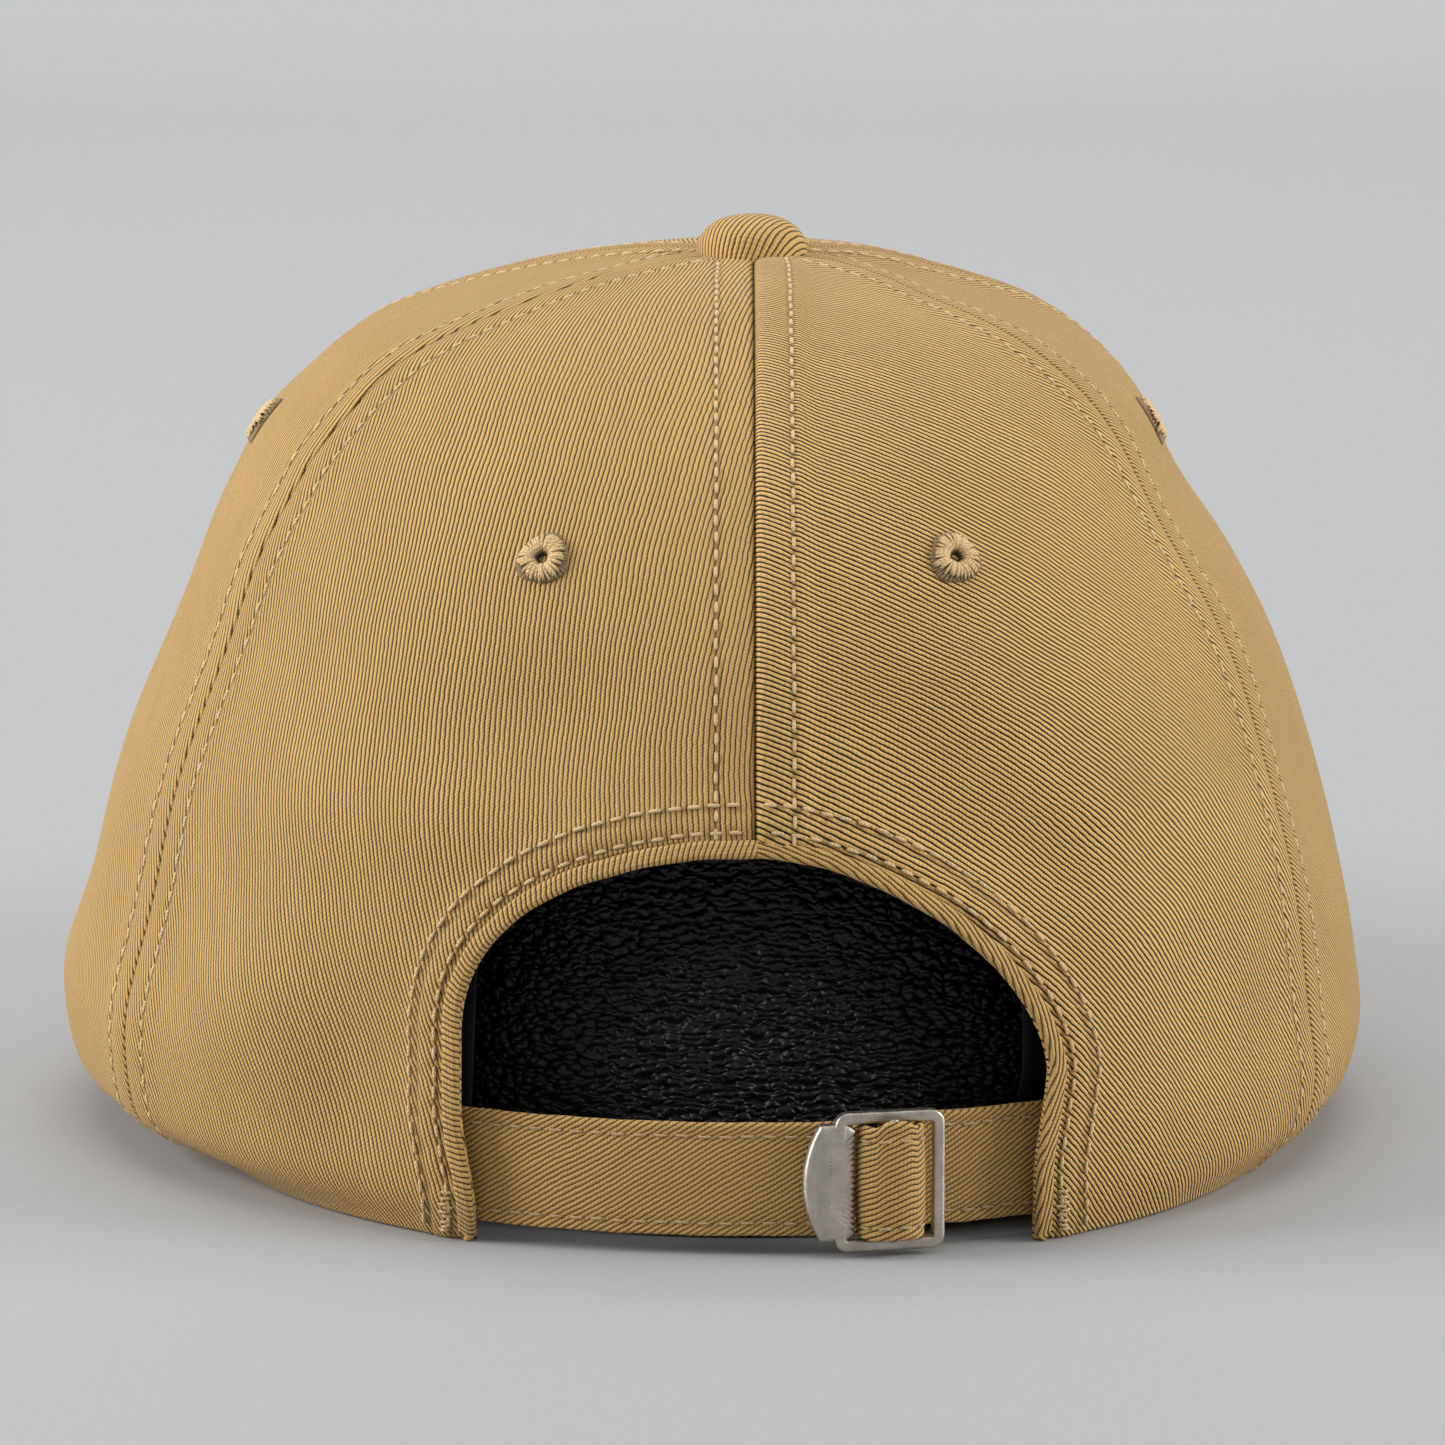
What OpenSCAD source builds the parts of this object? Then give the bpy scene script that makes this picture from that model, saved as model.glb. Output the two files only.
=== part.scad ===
// Six-panel twill baseball cap with a rear arch opening, a cloth strap and a tilting metal buckle.
// It stands on its hem. +Z is up, the visor points to -Y and the closure is at +Y.

/* [Crown] */
// Crown width across the fullest part
crown_w = 175; // [145:1:212]
// Crown length from forehead to rear
crown_l = 188; // [156:1:226]
// Crown height from the hem to the top seam crossing
crown_h = 115.5; // [95:0.5:140]
// Thickness of the panel cloth
panel_t = 0.9; // [0.6:0.1:1.5]
// Share by which the hem tucks in at the sides
side_tuck = 0.07; // [0:0.01:0.1]
// Share by which the hem tucks in at the rear
rear_tuck = 0.005; // [0:0.005:0.03]
// Rise of the hem at the centre of the forehead
front_rise = 18; // [6:1:22]

/* [Lining] */
// Gap left between layers of cloth
layer_gap = 0.3; // [0.25:0.05:0.5]
// Thickness of the front stiffener
stiff_t = 0.6; // [0.4:0.1:1]
// Thickness of the seam tape
tape_t = 0.45; // [0.3:0.05:0.8]
// Width of the seam tape
tape_w = 16; // [10:1:22]
// Height of the sweatband
sweat_h = 31; // [24:1:38]
// Thickness of the sweatband
sweat_t = 1.1; // [0.8:0.1:1.8]
// Height of the folded hem
hem_h = 1.6; // [1:0.1:2]

/* [Button and eyelets] */
// Diameter of the covered button
button_d = 15; // [12:0.5:18]
// Height of the covered button
button_h = 5; // [3.5:0.1:7]
// Outer diameter of an embroidered eyelet
eyelet_d = 7; // [5:0.1:9]
// Diameter of the hole in an eyelet
eyelet_hole_d = 2.4; // [1.5:0.1:3]

/* [Rear opening] */
// Width of the arch opening
arch_w = 74; // [60:1:84]
// Height of the arch opening above the hem
arch_h = 50; // [40:1:60]
// Width of the folded facing around the arch
facing_w = 9; // [6:0.5:11]
// Thickness of the facing
facing_t = 1.0; // [0.6:0.1:1.2]
// Height of the shaping insert behind the arch
insert_h = 64; // [54:1:80]
// Thickness of the shaping insert
insert_t = 0.8; // [0.5:0.1:1.5]

/* [Strap and buckle] */
// Width of the strap
strap_w = 14.4; // [12:0.1:16]
// Thickness of the strap
strap_t = 1.0; // [0.8:0.1:1.2]
// Height of the strap's lower edge above the hem
strap_z = 2.4; // [2.2:0.1:4]
// Side gap between the strap and the buckle window
window_gap = 0.3; // [0.2:0.05:0.6]
// Width of the top, bottom and right bars of the buckle
bar_w = 1.7; // [1.2:0.1:2]
// Thickness of the buckle plate
plate_t = 1.8; // [1.4:0.1:2]
// Diameter of the centre bar
pin_d = 2.0; // [1.6:0.1:2.4]
// Running gap between the centre bar and the anchor loop
pin_gap = 0.06; // [0.05:0.01:0.1]
// Distance from the centre bar to the frame's right edge
frame_right = 6.6; // [6.2:0.1:8]
// Distance from the centre bar to the frame's left edge
frame_left = 7.4; // [7:0.1:8.5]
// Length of the thumb tab past the frame's left edge
tab_out = 3.9; // [3:0.1:5]
// Angle of the buckle round the head, to the right of the rear seam
buckle_at = 12.3; // [6:0.1:14]
// Largest turn of the buckle along the strap when it tightens
tighten_deg = 16; // [8:1:16]
// Largest turn of the buckle along the strap when it loosens
loosen_deg = 7; // [2:1:7]

/* [Visor] */
// Length of the visor ahead of the crown
visor_l = 68; // [55:1:80]
// Width of the visor
visor_w = 180; // [160:1:190]
// Thickness of the visor board
board_t = 1.6; // [1.2:0.1:2.4]
// Thickness of the visor cloth
visor_cloth_t = 0.8; // [0.5:0.1:1.2]
// Rim of cloth past the board's edge
visor_rim = 2; // [1:0.5:4]

/* [Hidden] */

tan_cloth = "#bd9a62";
tan_thread = "#cbaa72";
black_cloth = "#17171a";
nickel = "#9b968c";

// Shape of the crown: a superellipse profile whose exponent changes round the head
n_side = 2.2;
n_rear = 2.35;
n_front = 2.8;
tuck_z = 0.14;
semi_x = crown_w / 2;
semi_y = crown_l / 2;
slack = 0.05;
panel_cols = 10;

// The hem's front edge lies flat up to this angle and then follows the visor
visor_from = 112;
rise_from = 96;

// The visor outline: semi-width, centre and front tip, all from the crown centre
visor_x = visor_w / 2;
visor_y = -58;
visor_tip = semi_y * (1 - rear_tuck) + visor_l;
visor_n = 2.3;

// The crown centre is moved so that the whole cap is centred on the origin
shift_y = (visor_tip - semi_y) / 2;

function pw(x, n) = x <= 0 ? 0 : pow(x, n);
function mix(a, b, t) = a + (b - a) * t;
function ease(a, b, x) = let (t = min(1, max(0, (x - a) / (b - a)))) t * t * (3 - 2 * t);
function expo(th) = n_side + (n_rear - n_side) * pw(cos(th), 1.5) + (n_front - n_side) * pw(-cos(th), 1.2);
function ell(th, off) = 1 / sqrt(pow(sin(th) / (semi_x - off), 2) + pow(cos(th) / (semi_y - off), 2));
function tuck_at(th) = mix(rear_tuck, side_tuck, pow(abs(sin(th)), 3));
function hem_x(th) = ell(th, 0) * (1 - tuck_at(th)) * sin(th);
function rise_at(th) = front_rise * max(0, 1 - pow(hem_x(th) / visor_x, 2)) * ease(rise_from, 128, abs(th));

// Radius of the crown at relative height q, at angle th from the rear and off inside the outer face
function radius_at(th, q, off) =
    let (n = expo(th), k = 1 - tuck_at(th) * pow(max(0, 1 - q / tuck_z), 2))
    ell(th, off) * k * pw(1 - pw(min(1, max(0, q)), n), 1 / n);
function place(th, q, off) =
    let (r = radius_at(th, q, off), zb = rise_at(th))
    [r * sin(th), r * cos(th) + shift_y, zb + (crown_h - off - zb) * q];
// Relative height of a height z above the table
function rel(th, z, off) = let (zb = rise_at(th)) (z - zb) / (crown_h - off - zb);
// Relative height for an even walk w from the hem (0) to the top (1)
function walk(w) = pw(sin(90 * w), 0.87);
// Angle at which a point x to the side lies, at relative height q
function angle_for(x, q, off) =
    let (a = asin(min(1, x / semi_x)), r = radius_at(a, q, off), b = asin(min(1, x / r)),
         r2 = radius_at(b, q, off), c = asin(min(1, x / r2)))
    asin(min(1, x / radius_at(c, q, off)));

// Rear arch: half width at height z
arch_n = 2.9;
arch_hw = arch_w / 2;
function arch_x(z) = arch_hw * pw(1 - pw(min(1, max(0, z / arch_h)), arch_n), 1 / arch_n);

top_w = 0.982;
seam_gap = 0.06;

// Closed sheet between two grids of points, rows upwards and columns towards +X
module sheet(o, i) {
    rows = len(o);
    cols = len(o[0]);
    count = rows * cols;
    pts = concat([for (r = o) each r], [for (r = i) each r]);
    function at(r, c, s) = s * count + r * cols + c;
    function quad(a, b, c, d) = [[a, b, c], [a, c, d]];
    faces = concat(
        [for (r = [0:rows - 2]) for (c = [0:cols - 2])
            each quad(at(r, c, 0), at(r, c + 1, 0), at(r + 1, c + 1, 0), at(r + 1, c, 0))],
        [for (r = [0:rows - 2]) for (c = [0:cols - 2])
            each quad(at(r, c, 1), at(r + 1, c, 1), at(r + 1, c + 1, 1), at(r, c + 1, 1))],
        [for (c = [0:cols - 2]) each quad(at(0, c + 1, 0), at(0, c, 0), at(0, c, 1), at(0, c + 1, 1))],
        [for (c = [0:cols - 2])
            each quad(at(rows - 1, c, 0), at(rows - 1, c + 1, 0), at(rows - 1, c + 1, 1), at(rows - 1, c, 1))],
        [for (r = [0:rows - 2]) each quad(at(r, 0, 0), at(r + 1, 0, 0), at(r + 1, 0, 1), at(r, 0, 1))],
        [for (r = [0:rows - 2])
            each quad(at(r + 1, cols - 1, 0), at(r, cols - 1, 0), at(r, cols - 1, 1), at(r + 1, cols - 1, 1))]
    );
    polyhedron(points = pts, faces = faces, convexity = 6);
}

// Rows of [relative height, first angle, last angle], turned into a grid at a depth
function grid(rows, cols, off) =
    [for (w = rows) [for (c = [0:cols]) place(mix(w[1], w[2], c / cols), w[0], off)]];

// Mirror a grid to the other side of the head, keeping columns towards +X
function turned(g) = [for (r = g) [for (c = [len(r) - 1:-1:0]) [-r[c][0], r[c][1], r[c][2]]]];

module wall(rows, cols, off, t, right) {
    o = grid(rows, cols, off);
    i = grid(rows, cols, off + t);
    sheet(right ? turned(o) : o, right ? turned(i) : i);
}

// ---- crown panels ----
// Shares of the arch height at which the rear panels have a row, closer together near the hem and the crown of the arch
arch_shares = [0, 0.08, 0.18, 0.3, 0.44, 0.58, 0.7, 0.8, 0.88, 0.94, 0.98, 1];
function walk_of(q) = asin(pow(q, 1 / 0.87)) / 90;
rear_rows = concat(
    [for (f = arch_shares)
        let (q = f * arch_h / crown_h)
        [q, max(seam_gap, angle_for(arch_x(f * arch_h), q, 0)), 60 - seam_gap]],
    [for (k = [1:8]) [walk(mix(walk_of(arch_h / crown_h), top_w, k / 8)), seam_gap, 60 - seam_gap]]
);
// Relative heights of the rows of the side and front panels
tuck_rows = [0, 0.035, 0.08, 0.14];
function high_rows(top) = [for (k = [1:10]) walk(mix(walk_of(tuck_z), top, k / 10))];
function plain_rows(a, b) = [for (q = concat(tuck_rows, high_rows(top_w))) [q, a, b]];

// A frame on the outer face at angle th and walk w, with +Z outwards
module on_face(th, w, right) {
    q = walk(w);
    p = place(th, q, 0);
    a = place(th + 0.5, q, 0) - place(th - 0.5, q, 0);
    b = place(th, walk(w + 0.005), 0) - place(th, walk(w - 0.005), 0);
    n = cross(b, a) / norm(cross(b, a));
    mirror([right ? 1 : 0, 0, 0])
        translate(p)
            rotate([0, acos(n[2]), atan2(n[1], n[0])])
                children();
}
eyelet_rear_at = [21.5, 0.49];
eyelet_side_at = [90, 0.565];
eyelet_front_at = [150, 0.565];

module eyelet_bore(at, right) {
    on_face(at[0], at[1], right)
        translate([0, 0, -3]) cylinder(d = eyelet_hole_d + 1, h = 6, $fn = 32);
}
module eyelet(at, right) {
    color(tan_thread) on_face(at[0], at[1], right)
        difference() {
            union() {
                translate([0, 0, 0.05]) cylinder(d = eyelet_d, h = 0.6, $fn = 48);
                translate([0, 0, -panel_t]) cylinder(d = eyelet_hole_d + 0.9, h = panel_t + 0.1, $fn = 32);
            }
            translate([0, 0, -3]) cylinder(d = eyelet_hole_d, h = 6, $fn = 32);
        }
}
module panel(rows, at, right) {
    color(tan_cloth) difference() {
        wall(rows, panel_cols, 0, panel_t, right);
        eyelet_bore(at, right);
    }
}
module panel_rear_left() { panel(rear_rows, eyelet_rear_at, false); }
module panel_rear_right() { panel(rear_rows, eyelet_rear_at, true); }
module panel_side_left() { panel(plain_rows(60, 120 - seam_gap), eyelet_side_at, false); }
module panel_side_right() { panel(plain_rows(60, 120 - seam_gap), eyelet_side_at, true); }
module panel_front_left() { panel(plain_rows(120, 180 - seam_gap), eyelet_front_at, false); }
module panel_front_right() { panel(plain_rows(120, 180 - seam_gap), eyelet_front_at, true); }

// ---- stiffener behind the front panels ----
stiff_off = panel_t + layer_gap;
stiff_top = 0.985;
module stiffener(right) {
    rows = [for (q = concat([0.035, 0.08, 0.14], [for (q = high_rows(top_w)) if (q < stiff_top) q])) [q, 120.3, 179.7]];
    color(black_cloth) difference() {
        wall(rows, panel_cols, stiff_off, stiff_t, right);
        eyelet_bore(eyelet_front_at, right);
    }
}
module stiffener_front_left() { stiffener(false); }
module stiffener_front_right() { stiffener(true); }

// ---- seam tapes, which narrow where they meet under the button ----
function tape_rows(th, z0, off) =
    let (q0 = rel(th, z0, off), w0 = walk_of(max(q0, tuck_z)))
    [for (q = concat([q0], [for (q = tuck_rows) if (q > q0 + 0.012) q], [for (k = [1:9]) walk(mix(w0, 0.95, k / 9))]))
        let (r = radius_at(th, q, off), h = min(asin(min(1, tape_w / 2 / r)), 28))
        [q, th - h, th + h]];
rear_tape_off = panel_t + layer_gap;
front_tape_off = panel_t + stiff_t + 2 * layer_gap;
sweat_top = hem_h + 0.2 + sweat_h;
module tape(th, z0, off, right = false) {
    color(black_cloth) wall(tape_rows(th, z0, off), 2, off, tape_t, right);
}
module tape_rear_center() { tape(0, arch_h + facing_w + 0.5, rear_tape_off); }
module tape_rear_left() { tape(60, hem_h + 0.4, rear_tape_off); }
module tape_rear_right() { tape(60, hem_h + 0.4, rear_tape_off, true); }
module tape_front_left() { tape(120, rise_at(120) + 3, front_tape_off); }
module tape_front_right() { tape(120, rise_at(120) + 3, front_tape_off, true); }
module tape_front_center() { tape(180, front_rise + 3, front_tape_off); }

// ---- eyelets ----
module eyelet_rear_left() { eyelet(eyelet_rear_at, false); }
module eyelet_rear_right() { eyelet(eyelet_rear_at, true); }
module eyelet_side_left() { eyelet(eyelet_side_at, false); }
module eyelet_side_right() { eyelet(eyelet_side_at, true); }
module eyelet_front_left() { eyelet(eyelet_front_at, false); }
module eyelet_front_right() { eyelet(eyelet_front_at, true); }

// ---- top button ----
cover_t = 0.8;
shell_t = 0.7;
post_d = 2.4;
module dome(d, h, t, z) {
    // A shallow domed cap: straight skirt below, quarter-ellipse top
    skirt = h * 0.3;
    outer = [for (a = [0:10:90]) [d / 2 * cos(a), skirt + (h - skirt) * sin(a)]];
    inner = [for (a = [90:-10:0]) [(d / 2 - t) * cos(a), skirt + (h - t - skirt) * sin(a)]];
    translate([0, shift_y, z])
        rotate_extrude($fn = 72)
            polygon(concat([[d / 2, 0]], outer, inner, [[d / 2 - t, 0]]));
}
module button_cover() { color(tan_cloth) dome(button_d, button_h, cover_t, crown_h + slack); }
module button_shell() {
    color(nickel) dome(button_d - 2 * cover_t - 2 * slack, button_h - cover_t - slack, shell_t, crown_h + slack);
}
back_z = crown_h - panel_t - stiff_t - tape_t - 4.4;
module button_post() {
    top = crown_h + button_h - cover_t - shell_t - 2 * slack;
    color(nickel) translate([0, shift_y, back_z + 0.5]) cylinder(d = post_d, h = top - back_z - 0.5, $fn = 32);
}
module button_back() {
    color(nickel) translate([0, shift_y, back_z])
        difference() {
            union() {
                cylinder(d = 11, h = 1.2, $fn = 48);
                translate([0, 0, 1.2]) cylinder(d = 5, h = 2.4, $fn = 32);
            }
            translate([0, 0, 0.5]) cylinder(d = post_d, h = 4, $fn = 32);
        }
}

// ---- closure, laid out on a circle that follows the crown's rear ----
// Three depths are measured inwards from the crown's outer face: run, tail and anchor
strap_top = strap_z + strap_w;
strap_mid = strap_z + strap_w / 2;
mid_q = strap_mid / crown_h;
rear_y = radius_at(0, mid_q, 0);
wide_a = 36;
wide_x = radius_at(wide_a, mid_q, 0) * sin(wide_a);
wide_y = radius_at(wide_a, mid_q, 0) * cos(wide_a);
drop = rear_y - wide_y;
arc_r = (wide_x * wide_x + drop * drop) / (2 * drop);
arc_y = rear_y - arc_r + shift_y;

tab_drop = 0.15;
run_off = panel_t + facing_t + 2 * layer_gap + 0.6;
bar_off = run_off - plate_t / 2 - tab_drop - 0.3;
bar_r = arc_r - bar_off;
loop_r = pin_d / 2 + pin_gap;
loop_t = 0.9;
crest_v = loop_r + loop_t + 0.05 + strap_t / 2;
run_v = -plate_t / 2 - tab_drop - 0.3 - strap_t / 2;
tilt_deg = 20;
tail_v = -(frame_right * sin(tilt_deg) + plate_t / 2) - 0.45 - strap_t / 2;
anchor_t = 1.4;
anchor_v = tail_v - strap_t / 2 - 0.3 - anchor_t / 2;
anchor_w = strap_w - 0.6;
opening_a = asin(arch_hw / arc_r);
tab_a = (frame_left + tab_out) / bar_r * 57.2958;

// A point at distance u along the bar circle and v outwards, in plan
function plan(u, v) =
    let (a = u / bar_r * 57.2958 - buckle_at)
    [(bar_r + v) * sin(a), (bar_r + v) * cos(a) + arc_y];
function unit(p) = p / norm(p);
function side_of(p, k) =
    let (a = p[max(0, k - 1)], b = p[min(len(p) - 1, k + 1)], d = unit(b - a)) [-d[1], d[0]];
// Band of thickness t along a list of [u, v] points
function band(p, t) = concat(
    [for (k = [0:len(p) - 1]) let (s = side_of(p, k)) plan(p[k][0] + s[0] * t / 2, p[k][1] + s[1] * t / 2)],
    [for (k = [len(p) - 1:-1:0]) let (s = side_of(p, k)) plan(p[k][0] - s[0] * t / 2, p[k][1] - s[1] * t / 2)]);
module strip(p, t, w, z) { translate([0, 0, z]) linear_extrude(height = w) polygon(band(p, t)); }

function arc_len(a) = (a + buckle_at) * bar_r / 57.2958;
run_end = arc_len(opening_a + 10);
tail_end = arc_len(-opening_a - 15);
// The strap's wave over the centre bar, from the run side to the tail side
crest_path = [
    [7.0, run_v], [5.2, run_v], [4.4, run_v + 0.12], [3.75, run_v + 0.65], [3.4, -0.3], [3.15, 0.6],
    [2.8, 1.4], [2.1, crest_v - 0.4], [1.1, crest_v - 0.08], [0, crest_v], [-1.2, crest_v - 0.1],
    [-2.2, crest_v - 0.6], [-2.8, 0.9], [-3.0, -0.4], [-3.0, -1.9], [-3.15, tail_v + 1.3]
];
run_path = concat([for (k = [0:14]) [mix(run_end, 8.4, k / 14), run_v]], crest_path);
tail_path = concat([[-3.5, tail_v + 0.75], [-4.2, tail_v + 0.2], [-5.2, tail_v]],
    [for (k = [0:12]) [mix(-6.6, tail_end, k / 12), tail_v]]);
module strap_run() { color(tan_cloth) strip(run_path, strap_t, strap_w, strap_z); }
module strap_tail() { color(tan_cloth) strip(tail_path, strap_t, strap_w, strap_z); }

// The anchor strap wraps the centre bar and runs to the right behind the tail
anchor_end = arc_len(-opening_a - tighten_deg - 2);
module anchor_strap() {
    c = plan(0, 0);
    color(tan_cloth) difference() {
        union() {
            strip([[0, -loop_r - 0.3], [0, -2.6], [-0.2, anchor_v + 1.2], [-0.7, anchor_v + 0.35], [-1.5, anchor_v]],
                anchor_t, anchor_w, strap_mid - anchor_w / 2);
            strip(concat([[-1.2, anchor_v + 0.06]], [for (k = [0:12]) [mix(-2.2, anchor_end, k / 12), anchor_v]]),
                anchor_t, anchor_w, strap_mid - anchor_w / 2);
            translate([c[0], c[1], strap_mid - anchor_w / 2])
                cylinder(r = loop_r + loop_t, h = anchor_w, $fn = 64);
        }
        translate([c[0], c[1], strap_mid - anchor_w / 2 - 1])
            cylinder(r = loop_r, h = anchor_w + 2, $fn = 64);
    }
}

// Buckle: frame, centre bar, thumb tab with fine teeth. Built flat, then stood up on the strap
window_h = strap_w + 2 * window_gap;
frame_h = window_h + 2 * bar_w;
corner_r = 1.6;
tab_h = strap_w + 0.4;
teeth_n = 18;
tooth = 0.55;
window_left = frame_left - 2.0;
module rounded(x0, x1, h, r) {
    for (x = [x0 + r, x1 - r])
        for (y = [-h / 2 + r, h / 2 - r])
            translate([x, y]) circle(r = r, $fn = 40);
    translate([x0 + r, -h / 2]) square([x1 - x0 - 2 * r, h]);
    translate([x0, -h / 2 + r]) square([x1 - x0, h - 2 * r]);
}
module buckle_plate() {
    difference() {
        rounded(-frame_right, frame_left, frame_h, corner_r);
        rounded(-frame_right + bar_w, window_left, window_h, 0.6);
    }
}
module tab_plate() {
    // Convex outer edge on a wide circle, chamfered corners
    reach = frame_left + tab_out;
    edge_r = 14;
    intersection() {
        polygon([[window_left - 0.3, -tab_h / 2], [reach - 1.6, -tab_h / 2], [reach, -tab_h / 2 + 2.4],
            [reach, tab_h / 2 - 2.4], [reach - 1.6, tab_h / 2], [window_left - 0.3, tab_h / 2]]);
        translate([reach - edge_r, 0]) circle(r = edge_r, $fn = 96);
    }
    for (k = [0:teeth_n - 1])
        let (y = -tab_h / 2 + 0.7 + (tab_h - 1.4) * (k + 0.5) / teeth_n, s = (tab_h - 1.4) / teeth_n / 2 * 0.8)
            translate([window_left - 0.3, y]) polygon([[0.05, -s], [0.05, s], [-tooth, 0]]);
}
module buckle() {
    c = plan(0, 0);
    color(nickel) translate([c[0], c[1], strap_mid]) rotate([0, 0, buckle_at]) rotate([90, 0, 0]) {
        translate([0, 0, -plate_t / 2]) linear_extrude(height = plate_t) buckle_plate();
        translate([0, 0, -plate_t / 2 - tab_drop]) linear_extrude(height = plate_t) tab_plate();
        rotate([90, 0, 0]) translate([0, 0, -window_h / 2 - 0.4])
            cylinder(d = pin_d, h = window_h + 0.8, $fn = 48);
    }
}

// ---- sweatband: it stands off the panels at its rear ends, where the strap ends slide behind it ----
pocket_off = bar_off - anchor_v + anchor_t / 2 + 0.8;
sweat_near = front_tape_off + tape_t + layer_gap + 0.1;
function sweat_off(th) = mix(pocket_off, sweat_near, ease(54, 72, abs(th)));
sweat_from = angle_for(arch_hw - 2, mid_q, pocket_off);
module sweatband() {
    z0 = hem_h + 0.2;
    angles = [for (k = [0:44]) mix(sweat_from, 360 - sweat_from, k / 44)];
    function near(a) = a > 180 ? a - 360 : a;
    function ring(z, t) = [for (a = angles)
        let (b = near(a), o = sweat_off(b), zz = rise_at(b) + z) place(b, rel(b, zz, o + t), o + t)];
    zs = [z0, mix(z0, sweat_top, 0.35), mix(z0, sweat_top, 0.7), sweat_top];
    color(black_cloth) sheet([for (z = zs) ring(z, 0)], [for (z = zs) ring(z, sweat_t)]);
}

// ---- shaping insert: a curved pebbled sheet that stands inside the sweatband and closes the arch ----
insert_half = 50;
module rear_insert() {
    off = pocket_off + sweat_t + 1;
    rows = [for (z = [2.5, 9, 17, 28, 40, 52, insert_h]) [rel(0, z, off), -insert_half, insert_half]];
    color(black_cloth) sheet(grid(rows, 16, off), grid(rows, 16, off + insert_t));
}

// ---- hem fold: flat ring that the cap stands on, from the arch to the visor on each side ----
function hem_out(th) = radius_at(th, 0, panel_t + slack);
module hem_fold(right) {
    a0 = angle_for(arch_hw + 1, 0, 0);
    n = 14;
    pts = concat([for (k = [0:n]) let (a = mix(a0, rise_from, k / n)) [hem_out(a) * sin(a), hem_out(a) * cos(a)]],
        [for (k = [n:-1:0]) let (a = mix(a0, rise_from, k / n), r = hem_out(a) - 2.4) [r * sin(a), r * cos(a)]]);
    color(tan_cloth) mirror([right ? 1 : 0, 0, 0]) translate([0, shift_y, 0]) linear_extrude(height = hem_h) polygon(pts);
}
module hem_fold_left() { hem_fold(false); }
module hem_fold_right() { hem_fold(true); }

// ---- folded facing around the arch ----
module rear_facing() {
    off = panel_t + layer_gap;
    steps = 22;
    // Inner edge on the arch, outer edge one facing width further out
    function edge(f, d) =
        let (c = pw(abs(cos(f)), 2 / arch_n) * (cos(f) < 0 ? -1 : 1), s = pw(sin(f), 2 / arch_n),
             x = (arch_hw + d) * c, z = mix(hem_h + 0.3, arch_h + d, s),
             q = rel(0, z, off), a = angle_for(abs(x), q, off))
        [x < 0 ? -a : a, q];
    function line(d, o) = [for (k = [0:steps]) let (e = edge(180 - 180 * k / steps, d)) place(e[0], e[1], o)];
    color(tan_cloth) sheet([line(0.2, off), line(facing_w / 2, off), line(facing_w, off)],
        [line(0.2, off + facing_t), line(facing_w / 2, off + facing_t), line(facing_w, off + facing_t)]);
}

// ---- bar tacks at the lower corners of the arch ----
module bar_tack(right) {
    q = 6 / crown_h;
    a = angle_for(arch_hw + 1.6, q, 0);
    p = place(a, q, 0);
    color(tan_thread) mirror([right ? 1 : 0, 0, 0])
        translate([p[0], p[1], 6]) rotate([0, 0, -a * 0.9]) translate([-0.8, -0.2, -3.4]) cube([1.6, 0.8, 6.8]);
}
module bar_tack_left() { bar_tack(false); }
module bar_tack_right() { bar_tack(true); }

// ---- visor: two cloths over a curved board ----
hem_end = [hem_x(visor_from), ell(visor_from, 0) * (1 - tuck_at(visor_from)) * cos(visor_from)];
visor_back = (hem_end[1] - visor_y) / pw(1 - pw(hem_end[0] / visor_x, visor_n), 1 / visor_n);
visor_a0 = asin(min(1, pw((hem_end[1] - visor_y) / visor_back, visor_n / 2)));
function visor_edge(s) =
    let (f = mix(-visor_a0, 90, 1 - abs(s)), c = pw(cos(f), 2 / visor_n), d = pw(abs(sin(f)), 2 / visor_n),
         front = -visor_tip - visor_y)
    [(s < 0 ? -1 : 1) * visor_x * c, f < 0 ? visor_y + visor_back * d : visor_y + front * d];
// The inner edge keeps clear of the crown's outer face at the height of the visor's upper side
board_gap = 0.15;
visor_full_t = 2 * visor_cloth_t + board_t + 2 * board_gap;
function visor_hem(s) =
    let (a = 180 - (180 - visor_from) * abs(s), r = radius_at(a, visor_full_t / crown_h, 0) + layer_gap)
    [(s < 0 ? -1 : 1) * r * sin(a), r * cos(a), rise_at(a)];
function visor_point(s, t, z) =
    let (h = visor_hem(s), e = visor_edge(s), far = (front_rise - 3) * (1 - pow(e[0] / visor_x, 2)),
         x = mix(h[0], e[0], t), y = mix(h[1], e[1], t))
    [x, y + shift_y, mix(h[2], max(0, far), t) + z];
module visor_layer(z, t, rim) {
    cols = 24;
    rows = 5;
    inset = 1 - 1.6 * rim / visor_w;
    function layer(h) = [for (r = [0:rows]) [for (c = [0:cols])
        visor_point(mix(-1, 1, c / cols) * inset, mix(0, 1 - rim / visor_l, r / rows), h)]];
    sheet(layer(z), layer(z + t));
}
module visor_bottom_cloth() { color(tan_cloth) visor_layer(0, visor_cloth_t, 0); }
module visor_board() { color("ivory") visor_layer(visor_cloth_t + board_gap, board_t, visor_rim); }
module visor_top_cloth() { color(tan_cloth) visor_layer(visor_cloth_t + board_t + 2 * board_gap, visor_cloth_t, 0); }

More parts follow.
